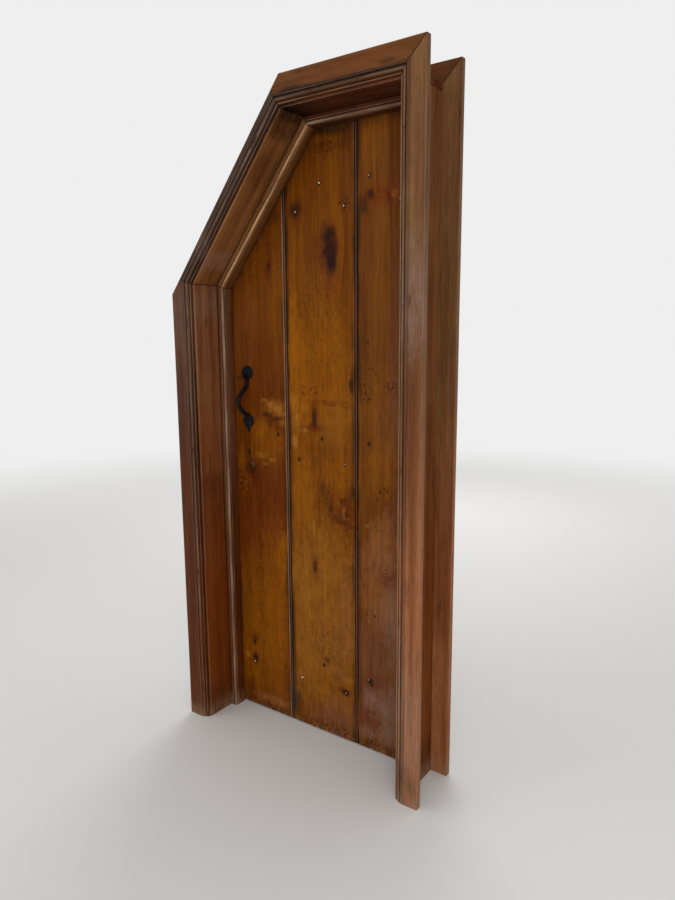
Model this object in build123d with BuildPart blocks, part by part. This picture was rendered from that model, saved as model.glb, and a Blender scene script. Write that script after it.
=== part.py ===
"""Ledged plank door with a raked head, hung in a deep moulded frame.

Millimetres, +Z up. X runs along the wall and +X is the hinge side. The viewer's side is -Y and
the leaf opens towards +Y. The origin is at floor level, in the middle of the width and depth.
Depths are counted from the face of the front architraves, towards the back.
"""

import os
from math import atan, cos, degrees, radians, sin, tan

from build123d import *

# Leaf and the gaps round it
leaf_width = 762.0
leaf_height = 1981.0
side_gap = 3.0
head_gap = 3.0
rake_gap = 3.0
floor_gap = 6.0
stop_gap = 0.5

# Rake, under the slope of the roof
rake_angle = 51.0
knee_height = 1522.0
ceiling_offset = 45.0

# Lining boards
lining_thickness = 28.0
reveal_depth = 103.0
arris_radius = 1.5
housing_depth = 8.0

# Planted stops with a staff bead
stop_width = 24.0
stop_depth = 47.0
staff_bead_radius = 6.0
staff_quirk_depth = 2.5
staff_quirk_width = 0.9

# Architraves: moulded at the front, plain at the back
architrave_thickness = 20.0
architrave_reach = 83.5
front_margin = 6.5
band_quirk_width = 3.5
band_quirk_depth = 5.0
ovolo_width = 11.5
ovolo_drop = 10.0
ovolo_set_down = 1.5
fillet_width = 2.0
edge_bead_radius = 2.5
back_architrave_thickness = 20.0
back_margin = 16.0

# Nails of the front architraves, punched below the ovolo
frame_nail_radius = 1.4
frame_nail_length = 44.0
frame_nail_inset = 120.0
frame_nail_pitch = 480.0
frame_nail_sink = 2.0

# Boards of the leaf
board_thickness = 22.0
left_board_width = 257.5
middle_board_width = 272.0
joint_gap = 1.6
board_bead_radius = 4.0
board_quirk_depth = 2.6
board_quirk_width = 1.4
tongue_thickness = 6.0
tongue_length = 9.0
tongue_clearance = 0.4
tongue_end_gap = 1.0

# Ledges on the back
ledge_height = 130.0
ledge_end_inset = 12.0
ledge_chamfer = 5.0
lower_ledge_rise = 208.0
middle_ledge_rise = 986.0
upper_ledge_drop = 214.0

# Clenched nails through boards and ledges
nail_row_offset = 37.5
nail_edge_inset = 81.0
nail_left_of_joint = 45.0
nail_right_of_joint = 42.0
nail_shank_radius = 1.6
nail_head_radius = 3.8
nail_head_height = 0.9
nail_clench_length = 12.0
nail_bend_clearance = 0.3
nail_clearance = 0.1

# Tee hinges
hinge_pin_radius = 3.0
hinge_bore_clearance = 0.05
knuckle_radius = 6.0
knuckle_gap = 0.3
middle_knuckle_length = 42.0
end_knuckle_length = 28.0
hinge_iron_thickness = 3.0
hinge_plate_width = 40.0
hinge_plate_screw_edge = 9.0
hinge_root = 2.0
strap_length = 290.0
strap_root_height = 36.0
strap_tip_height = 19.0
strap_screw_start = 45.0
strap_screw_count = 4
penny_radius = 15.0
pin_head_radius = 4.2
pin_head_height = 2.0
axis_beyond_leaf = 5.0

# Screws
screw_shank_radius = 2.3
screw_head_radius = 4.2
screw_length = 20.0
screw_clearance = 0.1
screw_slot_width = 1.0
screw_slot_depth = 0.9

# Thumb latch handle on the front
latch_inset = 82.0
thumb_axis_height = 1217.0
thumb_axis_in_board = 4.0
disc_radius = 23.0
disc_thickness = 5.0
disc_edge_chamfer = 0.8
disc_centre_above_axis = 14.0
disc_spacing = 165.0
disc_lap = 2.0
grip_stand_off = 45.0
grip_width = 14.0
grip_thickness = 9.5
grip_neck_width = 11.0
grip_corner = 3.0
grip_root_lap = 2.0
grip_foot_lap = 1.3
grip_neck_out_share = 0.2
grip_neck_share = 0.2
grip_shoulder_share = 0.55
grip_upper_share = 0.34
grip_belly_share = 0.60
grip_lower_share = 0.91
drop_radius = 6.5
drop_length = 19.0
handle_screw_spread = 11.0
handle_screw_rise = 6.0
handle_screw_length = 16.0

# Thumb lever
lever_range = 15.0
lever_blade_width = 7.0
lever_blade_height = 6.0
lever_pad_width = 22.0
lever_pad_thickness = 3.0
lever_pad_reach = 47.0
lever_pad_gap = 2.0
lever_scroll_radius = 2.2
lever_scroll_width = 13.0
lever_tail_reach = 14.0
lever_pin_radius = 2.0
lever_clearance = 0.6
lever_ear_width = 3.0
lever_ear_radius = 4.0

# Latch bar and what holds it
bar_height = 18.0
bar_thickness = 5.0
bar_stand_off = 3.5
bar_pivot_inset = 146.0
bar_boss_radius = 13.0
bar_end_gap = 1.0
bar_seat_gap = 0.3
bar_end_chamfer = 3.0
rivet_radius = 3.0
rivet_clearance = 0.05
rivet_head_radius = 6.5
rivet_head_height = 2.5
pivot_plate_width = 34.0
pivot_plate_height = 62.0
pivot_plate_thickness = 3.0
pivot_plate_corner = 5.0
pivot_screw_spread = 22.0
guard_inset = 34.0
guard_width = 16.0
guard_iron = 3.0
guard_foot = 18.0
guard_play = 2.0
keeper_plate_thickness = 3.0
keeper_hook_thickness = 9.0
keeper_hook_drop = 16.0
keeper_plate_drop = 52.0
keeper_screw_drop = 25.0
keeper_screw_spacing = 18.0
keeper_nose_height = 11.0
keeper_nose_tip = 2.0
keeper_side_gap = 1.5
keeper_play = 2.0
keeper_screw_length = 18.0

# Depths, from the front face
lining_front = architrave_thickness
stop_front = lining_front + reveal_depth
stop_back = stop_front + stop_depth
board_face = stop_back + stop_gap
board_back = board_face + board_thickness
ledge_thickness = back_architrave_thickness
ledge_back = board_back + ledge_thickness
hinge_face = ledge_back + hinge_iron_thickness
hinge_axis_depth = ledge_back + knuckle_radius
total_depth = hinge_axis_depth + knuckle_radius
front_y = -total_depth / 2

# Widths and heights that follow
opening_width = leaf_width + 2 * side_gap
leaf_top = floor_gap + leaf_height
opening_height = leaf_top + head_gap
leaf_left = -leaf_width / 2
leaf_right = leaf_width / 2
lower_ledge_height = floor_gap + lower_ledge_rise
middle_ledge_height = floor_gap + middle_ledge_rise
upper_ledge_height = leaf_top - upper_ledge_drop
first_joint = leaf_left + left_board_width
second_joint = first_joint + joint_gap + middle_board_width
hinge_axis_x = leaf_right + axis_beyond_leaf
hinge_height = middle_knuckle_length + 2 * (knuckle_gap + end_knuckle_length)
moulding_start = front_margin + 2 * edge_bead_radius + fillet_width
overrun = 2 * architrave_reach
eighth_turn = sin(radians(45))

# Latch sizes that follow
latch_x = leaf_left + latch_inset
thumb_axis_depth = board_face + thumb_axis_in_board
upper_disc_height = thumb_axis_height + disc_centre_above_axis
lower_disc_height = upper_disc_height - disc_spacing
lever_nose_radius = lever_blade_height / 2
bar_bottom = thumb_axis_height + lever_nose_radius + bar_seat_gap
bar_centre_height = bar_bottom + bar_height / 2
bar_top = bar_bottom + bar_height
bar_front = board_back + bar_stand_off
bar_back = bar_front + bar_thickness
bar_pivot_x = leaf_left + bar_pivot_inset
keeper_face_x = -opening_width / 2 - back_margin
bar_end_x = keeper_face_x + bar_end_gap
lever_arm = bar_front + bar_thickness / 2 - thumb_axis_depth
lever_lift = lever_arm * sin(radians(lever_range))
bar_lever_arm = bar_pivot_x - latch_x - lever_blade_width / 2
bar_range = degrees(atan(lever_lift / bar_lever_arm))
slot_width = lever_blade_width + 2 * lever_clearance


def at(x, depth, z):
    """A point, with its depth counted from the front face."""
    return Vector(x, front_y + depth, z)


def facing_front(depth, x=0.0, z=0.0):
    """A plane parallel to the wall, seen from the front: local x is X and local y is Z."""
    return Plane(origin=at(x, depth, z), x_dir=(1, 0, 0), z_dir=(0, -1, 0))


def facing_back(depth, x=0.0, z=0.0):
    """A plane parallel to the wall whose normal points to the back."""
    return Plane(origin=at(x, depth, z), x_dir=(1, 0, 0), z_dir=(0, 1, 0))


def level(depth, x=0.0, z=0.0):
    """A level plane: local x is X and local y is the depth."""
    return Plane(origin=at(x, depth, z), x_dir=(1, 0, 0), z_dir=(0, 0, 1))


def upright(x, depth=0.0, z=0.0):
    """A plane square to the wall: local x is the depth and local y is Z."""
    return Plane(origin=at(x, depth, z), x_dir=(0, 1, 0), z_dir=(1, 0, 0))


def finish(name, builder):
    """Label a finished piece and write it out."""
    builder.part.label = name
    export_step(builder.part, f"parts/{name}.step")


os.makedirs("parts", exist_ok=True)

# The line of the linings' inner faces, from the left foot round to the right foot
rake = radians(rake_angle)
rake_outward = Vector(-sin(rake), 0, cos(rake))
hip_x = -opening_width / 2 + (opening_height - knee_height) / tan(rake)
corners = [
    at(-opening_width / 2, 0, 0),
    at(-opening_width / 2, 0, knee_height),
    at(hip_x, 0, opening_height),
    at(opening_width / 2, 0, opening_height),
    at(opening_width / 2, 0, 0),
]
knee = corners[1]
head_corner = corners[3]
run_names = ["left", "raking", "head", "right"]
directions = [(end - start).normalized() for start, end in zip(corners, corners[1:])]
bisectors = [
    (before + after).normalized() for before, after in zip(directions, directions[1:])
]
cut_normals = [directions[0], *bisectors, directions[-1]]
cuts = [Plane(origin=corner, z_dir=normal) for corner, normal in zip(corners, cut_normals)]
ceiling = Plane(origin=knee + rake_outward * ceiling_offset, z_dir=rake_outward)
leaf_rake = Plane(origin=knee - rake_outward * rake_gap, z_dir=rake_outward)
ledge_rake = Plane(
    origin=knee - rake_outward * (rake_gap + ledge_end_inset), z_dir=rake_outward
)


def outward_of(run):
    """The direction from the opening into the wall, square to a run."""
    return Vector(-directions[run].Z, 0, directions[run].X)


def blank_plane(run):
    """The section plane past a run's end: local x is outwards and local y is the depth."""
    origin = corners[run + 1] + directions[run] * overrun
    return Plane(origin=origin, x_dir=outward_of(run), z_dir=-directions[run])


def blank_length(run):
    """The length of a run's blank, with an overrun at both ends for its mitres."""
    return (corners[run + 1] - corners[run]).length + 2 * overrun


def cut_to_length(start_cut, end_cut):
    """Cut the active blank at both ends and under the ceiling."""
    split(bisect_by=start_cut, keep=Keep.TOP)
    split(bisect_by=end_cut, keep=Keep.BOTTOM)
    split(bisect_by=ceiling, keep=Keep.BOTTOM)


def frame_nail_points(run):
    """Points along a run where a nail passes the ovolo's middle into the lining's edge."""
    usable = (corners[run + 1] - corners[run]).length - 2 * frame_nail_inset
    gaps = max(1, round(usable / frame_nail_pitch))
    across = outward_of(run) * (moulding_start + ovolo_width / 2)
    steps = [frame_nail_inset + usable * step / gaps for step in range(gaps + 1)]
    return [corners[run] + directions[run] * step + across for step in steps]


def frame_nail_planes(run, depth):
    """Planes at a run's nails, at one depth, that face the viewer."""
    return [facing_front(depth, point.X, point.Z) for point in frame_nail_points(run)]


# Screw, with its head's top at the origin and its point along -Z
def make_screw(length):
    """A slotted countersunk screw."""
    head_height = screw_head_radius - screw_shank_radius
    downwards = (Align.CENTER, Align.CENTER, Align.MAX)
    with BuildPart() as screw:
        Cone(screw_shank_radius, screw_head_radius, head_height, align=downwards)
        Cylinder(screw_shank_radius, length - screw_shank_radius, align=downwards)
        with Locations((0, 0, screw_shank_radius - length)):
            Cone(0, screw_shank_radius, screw_shank_radius, align=downwards)
        Box(
            2 * screw_head_radius,
            screw_slot_width,
            screw_slot_depth,
            align=downwards,
            mode=Mode.SUBTRACT,
        )
    return screw.part


def drive_screws(name, places, length=screw_length):
    """Write one node that holds a screw at each place."""
    screw = make_screw(length)
    with BuildPart() as screws:
        with Locations(*places):
            add(screw)
    finish(name, screws)


def sink_screws(places, depth):
    """Cut countersunk holes of the screws' own size into the active piece."""
    with Locations(*places):
        CounterSinkHole(
            screw_shank_radius + screw_clearance,
            screw_head_radius + screw_clearance,
            depth,
            counter_sink_angle=90,
        )


def bore_screws(places, depth):
    """Cut the screws' straight holes into the active piece."""
    with Locations(*places):
        Hole(screw_shank_radius + screw_clearance, depth)


# Section of the front architraves: bead, fillet, ovolo, quirk and flat band
fillet_level = ovolo_set_down + ovolo_drop
bead_end = front_margin + 2 * edge_bead_radius
ovolo_end = moulding_start + ovolo_width
with BuildSketch() as moulded_section:
    with BuildLine():
        Polyline(
            (moulding_start, fillet_level),
            (bead_end, fillet_level),
        )
        ThreePointArc(
            (bead_end, fillet_level),
            (front_margin + edge_bead_radius, fillet_level - edge_bead_radius),
            (front_margin, fillet_level),
        )
        Polyline(
            (front_margin, fillet_level),
            (front_margin, architrave_thickness),
            (architrave_reach, architrave_thickness),
            (architrave_reach, 0),
            (ovolo_end + band_quirk_width, 0),
            (ovolo_end, band_quirk_depth),
            (ovolo_end, ovolo_set_down),
        )
        ThreePointArc(
            (ovolo_end, ovolo_set_down),
            (ovolo_end - ovolo_width * eighth_turn, fillet_level - ovolo_drop * eighth_turn),
            (moulding_start, fillet_level),
        )
    make_face()

# Section of the back architraves: plain, with eased arrises on the face
with BuildSketch() as plain_section:
    with Locations((back_margin, board_back)):
        Rectangle(
            architrave_reach - back_margin,
            back_architrave_thickness,
            align=(Align.MIN, Align.MIN),
        )
    fillet(plain_section.vertices().group_by(Axis.Y)[-1], arris_radius)

# Section of the linings, with the arrises towards the opening eased
with BuildSketch() as lining_section:
    with Locations((0, lining_front)):
        Rectangle(
            lining_thickness,
            board_back - lining_front,
            align=(Align.MIN, Align.MIN),
        )
    fillet(lining_section.vertices().group_by(Axis.X)[0], arris_radius)

# Section of the stops: a staff bead on the free corner, between two quirks
bead_half_width = (staff_bead_radius**2 - (staff_bead_radius - staff_quirk_depth) ** 2) ** 0.5
front_quirk = -stop_width + staff_bead_radius + bead_half_width
side_quirk = stop_front + staff_bead_radius + bead_half_width
bead_corner = staff_bead_radius * (1 - eighth_turn)
with BuildSketch() as stop_section:
    with BuildLine():
        ThreePointArc(
            (front_quirk, stop_front + staff_quirk_depth),
            (-stop_width + bead_corner, stop_front + bead_corner),
            (-stop_width + staff_quirk_depth, side_quirk),
        )
        Polyline(
            (-stop_width + staff_quirk_depth, side_quirk),
            (-stop_width + staff_quirk_depth, side_quirk + staff_quirk_width),
            (-stop_width, side_quirk + staff_quirk_width),
            (-stop_width, stop_back),
            (0, stop_back),
            (0, stop_front),
            (front_quirk + staff_quirk_width, stop_front),
            (front_quirk + staff_quirk_width, stop_front + staff_quirk_depth),
            (front_quirk, stop_front + staff_quirk_depth),
        )
    make_face()

# Where the fixed hinge plates and the keeper are screwed to the frame
hinge_heights = {"upper": upper_ledge_height, "lower": lower_ledge_height}
plate_screw_x = hinge_axis_x + hinge_plate_width - hinge_plate_screw_edge
plate_screw_rise = hinge_height / 2 - hinge_plate_screw_edge


def plate_screw_places(height, depth):
    """The three screws of a fixed hinge plate."""
    rises = [-plate_screw_rise, 0, plate_screw_rise]
    return [facing_back(depth, plate_screw_x, height + rise) for rise in rises]


keeper_front = board_back + keeper_side_gap
keeper_back = ledge_back - arris_radius - keeper_side_gap
keeper_seat = bar_bottom - bar_seat_gap
keeper_screw_depth = (keeper_front + keeper_back) / 2


def keeper_screw_places(x):
    """The two screws of the keeper, driven square to the jamb."""
    drops = [keeper_screw_drop, keeper_screw_drop + keeper_screw_spacing]
    return [
        Plane(origin=at(x, keeper_screw_depth, keeper_seat - drop), z_dir=(1, 0, 0))
        for drop in drops
    ]


# Front architraves and their nails
nail_top = ovolo_set_down + ovolo_drop * (1 - cos(radians(30))) + frame_nail_sink
for run, name in enumerate(run_names):
    with BuildPart() as front_architrave:
        with BuildSketch(blank_plane(run)):
            add(moulded_section.sketch)
        extrude(amount=blank_length(run))
        cut_to_length(cuts[run], cuts[run + 1])
        with Locations(*frame_nail_planes(run, 0)):
            Hole(frame_nail_radius + nail_clearance, architrave_thickness)
    finish(f"front_architrave_{name}", front_architrave)

with BuildPart() as frame_nails:
    for run in range(len(run_names)):
        with Locations(*frame_nail_planes(run, nail_top)):
            Cylinder(
                frame_nail_radius,
                frame_nail_length,
                align=(Align.CENTER, Align.CENTER, Align.MAX),
            )
finish("architrave_nails", frame_nails)

# Back architraves, with the holes of the hinge plates and the keeper
for run, name in enumerate(run_names):
    with BuildPart() as back_architrave:
        with BuildSketch(blank_plane(run)):
            add(plain_section.sketch)
        extrude(amount=blank_length(run))
        cut_to_length(cuts[run], cuts[run + 1])
        if name == "right":
            for height in hinge_heights.values():
                bore_screws(plate_screw_places(height, ledge_back), back_architrave_thickness)
        if name == "left":
            bore_screws(keeper_screw_places(keeper_face_x), keeper_screw_length)
    finish(f"back_architrave_{name}", back_architrave)

# Linings: mitred at the knee and the hip, with the right jamb housed into the head
housing_cut = Plane(
    origin=head_corner - directions[3] * housing_depth, z_dir=directions[3]
)
head_end_cut = Plane(origin=head_corner + directions[2] * lining_thickness, z_dir=directions[2])
lining_cuts = {
    "left": (cuts[0], cuts[1]),
    "raking": (cuts[1], cuts[2]),
    "right": (housing_cut, cuts[4]),
    "head": (cuts[2], head_end_cut),
}
linings = {}
for name, (start_cut, end_cut) in lining_cuts.items():
    run = run_names.index(name)
    with BuildPart() as lining:
        with BuildSketch(blank_plane(run)):
            add(lining_section.sketch)
        extrude(amount=blank_length(run))
        cut_to_length(start_cut, end_cut)
        with Locations(*frame_nail_planes(run, lining_front)):
            Hole(frame_nail_radius + nail_clearance, nail_top + frame_nail_length - lining_front)
        if name == "head":
            add(linings["right"], mode=Mode.SUBTRACT)
    linings[name] = lining.part
    finish(f"lining_{name}", lining)

# Stops
for run, name in enumerate(run_names):
    with BuildPart() as stop:
        with BuildSketch(blank_plane(run)):
            add(stop_section.sketch)
        extrude(amount=blank_length(run))
        cut_to_length(cuts[run], cuts[run + 1])
    finish(f"stop_{name}", stop)

# Ledges and the places of their nails: a zigzag over two rows
ledge_heights = {
    "upper": upper_ledge_height,
    "middle": middle_ledge_height,
    "lower": lower_ledge_height,
}
ledge_left = leaf_left + ledge_end_inset
ledge_right = leaf_right - ledge_end_inset
left_edge_nail = leaf_left + nail_edge_inset
middle_board_centre = (first_joint + joint_gap + second_joint) / 2


def nail_points(ledge):
    """The nails of a ledge, as X and Z, without those that would miss its raked end."""
    height = ledge_heights[ledge]
    low_row = [
        left_edge_nail,
        first_joint + joint_gap + nail_right_of_joint,
        second_joint - nail_left_of_joint,
        leaf_right - nail_edge_inset,
    ]
    high_row = [
        left_edge_nail if ledge == "lower" else first_joint - nail_left_of_joint,
        middle_board_centre,
        second_joint + joint_gap + nail_right_of_joint,
    ]
    points = [(x, height - nail_row_offset) for x in low_row]
    points += [(x, height + nail_row_offset) for x in high_row]
    return [
        (x, z)
        for x, z in points
        if (at(x, 0, z) - ledge_rake.origin).dot(rake_outward) < -ledge_end_inset
    ]


all_nails = [point for ledge in ledge_heights for point in nail_points(ledge)]

# Screws of the hinge straps and of the latch
strap_screw_pitch = (strap_length - penny_radius - strap_screw_start) / (strap_screw_count - 1)


def strap_screw_places(height, depth):
    """The screws of a hinge strap, from its root to its penny end."""
    steps = [strap_screw_start + strap_screw_pitch * step for step in range(strap_screw_count)]
    return [facing_back(depth, hinge_axis_x - step, height) for step in steps]


def handle_screw_places(depth):
    """Two screws in each round plate, clear of the slot and of the grip's roots."""
    heights = [upper_disc_height + handle_screw_rise, lower_disc_height - handle_screw_rise]
    sides = [-handle_screw_spread, handle_screw_spread]
    return [facing_front(depth, latch_x + side, z) for z in heights for side in sides]


guard_x = leaf_left + guard_inset
guard_low = bar_bottom - guard_play
guard_high = bar_top + (bar_pivot_x - guard_x) * tan(radians(bar_range)) + guard_play
guard_back = bar_back + guard_play
guard_screw_heights = [
    guard_low - guard_iron - guard_foot / 2,
    guard_high + guard_iron + guard_foot / 2,
]


def guard_screw_places(depth):
    """One screw in each foot of the bar's guard."""
    return [facing_back(depth, guard_x, z) for z in guard_screw_heights]


def pivot_screw_places(depth):
    """One screw above and one below the bar's rivet."""
    rises = [-pivot_screw_spread, pivot_screw_spread]
    return [facing_back(depth, bar_pivot_x, bar_centre_height + rise) for rise in rises]


# The slot through the left board: it takes the lever and the two ears of its pin
ear_reach = slot_width / 2 + lever_ear_width
slot_low = lever_ear_radius + lever_clearance
slot_high = (
    (board_thickness - thumb_axis_in_board) * sin(radians(lever_range))
    + lever_nose_radius
    + 2 * lever_clearance
)

# Boards
tongue_front = (board_thickness - tongue_thickness) / 2
groove_depth = tongue_length - joint_gap + tongue_end_gap
board_bead_half = (
    board_bead_radius**2 - (board_bead_radius - board_quirk_depth) ** 2
) ** 0.5
boards = {
    "left": (leaf_left, first_joint),
    "middle": (first_joint + joint_gap, second_joint),
    "right": (second_joint + joint_gap, leaf_right),
}
leaf_screw_bores = handle_screw_places(board_face)
back_bores = guard_screw_places(board_back) + pivot_screw_places(board_back)
for name, (left_edge, right_edge) in boards.items():
    with BuildPart() as board:
        with BuildSketch(level(board_face, 0, floor_gap)) as board_section:
            with Locations((left_edge, 0)):
                Rectangle(
                    right_edge - left_edge, board_thickness, align=(Align.MIN, Align.MIN)
                )
            if name != "left":
                with Locations((left_edge, tongue_front - tongue_clearance / 2)):
                    Rectangle(
                        groove_depth,
                        tongue_thickness + tongue_clearance,
                        align=(Align.MIN, Align.MIN),
                        mode=Mode.SUBTRACT,
                    )
            if name != "right":
                with Locations((right_edge, tongue_front)):
                    Rectangle(tongue_length, tongue_thickness, align=(Align.MIN, Align.MIN))
                with Locations((right_edge, 0)):
                    Rectangle(
                        board_bead_radius,
                        board_bead_radius,
                        align=(Align.MAX, Align.MIN),
                        mode=Mode.SUBTRACT,
                    )
                with Locations((right_edge - board_bead_radius, 0)):
                    Rectangle(
                        board_bead_half + board_quirk_width,
                        board_quirk_depth,
                        align=(Align.MAX, Align.MIN),
                        mode=Mode.SUBTRACT,
                    )
                with Locations((right_edge - board_bead_radius, board_bead_radius)):
                    Circle(board_bead_radius)
        extrude(amount=leaf_height)
        split(bisect_by=leaf_rake, keep=Keep.BOTTOM)
        with Locations(
            *[facing_front(board_face, x, z) for x, z in all_nails if left_edge < x < right_edge]
        ):
            Hole(nail_shank_radius + nail_clearance, board_thickness)
        if name == "left":
            bore_screws(leaf_screw_bores, handle_screw_length)
            bore_screws(back_bores, screw_length - pivot_plate_thickness)
            with BuildSketch(facing_front(board_face, latch_x, thumb_axis_height)):
                with Locations((0, (slot_high - slot_low) / 2)):
                    Rectangle(2 * (ear_reach + lever_clearance), slot_high + slot_low)
            extrude(amount=-board_thickness, mode=Mode.SUBTRACT)
    finish(f"board_{name}", board)

# Ledges
for name, height in ledge_heights.items():
    with BuildPart() as ledge:
        with BuildSketch(facing_front(board_back, 0, height)):
            with Locations(((ledge_left + ledge_right) / 2, 0)):
                Rectangle(ledge_right - ledge_left, ledge_height)
        extrude(amount=-ledge_thickness)
        split(bisect_by=ledge_rake, keep=Keep.BOTTOM)
        chamfer(ledge.faces().sort_by(Axis.Y)[-1].edges(), ledge_chamfer)
        with Locations(*[facing_front(board_back, x, z) for x, z in nail_points(name)]):
            Hole(nail_shank_radius + nail_clearance, ledge_thickness)
        if name in hinge_heights:
            bore_screws(strap_screw_places(height, ledge_back), ledge_thickness)
    finish(f"ledge_{name}", ledge)

# Clenched nails: driven from the front, bent over and laid along the ledge
nail_through = board_thickness + ledge_thickness
nail_bend_radius = nail_shank_radius + nail_bend_clearance
with BuildPart() as nail:
    with BuildLine(Plane.YZ) as nail_line:
        FilletPolyline(
            (0, 0),
            (0, -nail_through - nail_bend_radius),
            (-nail_clench_length, -nail_through - nail_bend_radius),
            radius=nail_bend_radius,
        )
    with BuildSketch(Plane(origin=(0, 0, 0), z_dir=(0, 0, -1))):
        Circle(nail_shank_radius)
    sweep(path=nail_line.line)
    Cone(
        nail_head_radius,
        nail_shank_radius,
        nail_head_height,
        align=(Align.CENTER, Align.CENTER, Align.MIN),
    )
for name in ledge_heights:
    with BuildPart() as clenched_nails:
        with Locations(*[facing_front(board_face, x, z) for x, z in nail_points(name)]):
            add(nail.part)
    finish(f"clenched_nails_{name}", clenched_nails)

# Tee hinges: fixed plate with two knuckles, strap with one, and the pin
end_knuckle_rise = middle_knuckle_length / 2 + knuckle_gap
strap_penny_x = penny_radius - strap_length
for name, height in hinge_heights.items():
    with BuildPart() as hinge_plate:
        with BuildSketch(facing_front(ledge_back, hinge_axis_x, height)):
            with Locations((hinge_root, 0)):
                Rectangle(
                    hinge_plate_width - hinge_root,
                    hinge_height,
                    align=(Align.MIN, Align.CENTER),
                )
            Rectangle(
                2 * (knuckle_radius + lever_clearance),
                2 * end_knuckle_rise,
                mode=Mode.SUBTRACT,
            )
        extrude(amount=-hinge_iron_thickness)
        for rise in [-end_knuckle_rise - end_knuckle_length, end_knuckle_rise]:
            with BuildSketch(level(hinge_axis_depth, hinge_axis_x, height + rise)):
                Circle(knuckle_radius)
            extrude(amount=end_knuckle_length)
        with Locations(level(hinge_axis_depth, hinge_axis_x, height + hinge_height / 2)):
            Hole(hinge_pin_radius + hinge_bore_clearance, hinge_height)
        sink_screws(plate_screw_places(height, hinge_face), hinge_iron_thickness)
    finish(f"{name}_hinge_plate", hinge_plate)

    with BuildPart() as hinge_strap:
        with BuildSketch(facing_front(ledge_back, hinge_axis_x, height)):
            with BuildLine():
                Polyline(
                    (-hinge_root, strap_root_height / 2),
                    (-hinge_root, -strap_root_height / 2),
                    (strap_penny_x, -strap_tip_height / 2),
                    (strap_penny_x, strap_tip_height / 2),
                    (-hinge_root, strap_root_height / 2),
                )
            make_face()
            with Locations((strap_penny_x, 0)):
                Circle(penny_radius)
        extrude(amount=-hinge_iron_thickness)
        with BuildSketch(
            level(hinge_axis_depth, hinge_axis_x, height - middle_knuckle_length / 2)
        ):
            Circle(knuckle_radius)
        extrude(amount=middle_knuckle_length)
        with Locations(level(hinge_axis_depth, hinge_axis_x, height + hinge_height / 2)):
            Hole(hinge_pin_radius + hinge_bore_clearance, hinge_height)
        sink_screws(strap_screw_places(height, hinge_face), hinge_iron_thickness)
    finish(f"{name}_hinge_strap", hinge_strap)

    with BuildPart() as hinge_pin:
        with Locations(at(hinge_axis_x, hinge_axis_depth, height)):
            Cylinder(hinge_pin_radius, hinge_height)
        for rise in [-hinge_height / 2 - pin_head_height, hinge_height / 2]:
            with BuildSketch(level(hinge_axis_depth, hinge_axis_x, height + rise)):
                Circle(pin_head_radius)
            extrude(amount=pin_head_height)
    finish(f"{name}_hinge_pin", hinge_pin)

    drive_screws(f"{name}_plate_screws", plate_screw_places(height, hinge_face))
    drive_screws(f"{name}_strap_screws", strap_screw_places(height, hinge_face))

# Grip of the latch: a bowed band, widest at its belly, with eased edges
disc_front = board_face - disc_thickness
grip_top = upper_disc_height - disc_radius + disc_lap
grip_bottom = lower_disc_height + disc_radius - disc_lap
grip_span = grip_top - grip_bottom
grip_root = disc_thickness + grip_thickness / 2 - grip_root_lap
grip_foot = disc_thickness - grip_foot_lap
grip_belly = grip_stand_off + grip_thickness / 2
belly_height = grip_top - grip_span * grip_belly_share
with BuildPart() as grip:
    with BuildLine(
        Plane(origin=at(latch_x, board_face, 0), x_dir=(0, -1, 0), z_dir=(-1, 0, 0))
    ) as grip_line:
        Spline(
            (grip_root, grip_top),
            (grip_belly * grip_neck_out_share, grip_top - grip_span * grip_neck_share),
            (grip_belly * grip_shoulder_share, grip_top - grip_span * grip_upper_share),
            (grip_belly, belly_height),
            (grip_belly * grip_shoulder_share, grip_top - grip_span * grip_lower_share),
            (grip_foot, grip_bottom),
        )
    with BuildSketch(
        Plane(origin=grip_line.line @ 0, x_dir=(1, 0, 0), z_dir=grip_line.line % 0)
    ):
        RectangleRounded(grip_width, grip_thickness, grip_corner)
    sweep(path=grip_line.line)
    with BuildSketch(facing_front(board_face, latch_x)):
        with BuildLine():
            for side in [-1, 1]:
                ThreePointArc(
                    (side * grip_neck_width / 2, grip_top + disc_radius),
                    (side * grip_width / 2, belly_height),
                    (side * grip_neck_width / 2, grip_bottom - disc_radius),
                )
            for height in [grip_top + disc_radius, grip_bottom - disc_radius]:
                Line((-grip_neck_width / 2, height), (grip_neck_width / 2, height))
        make_face()
    extrude(amount=2 * grip_belly, mode=Mode.INTERSECT)

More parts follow.
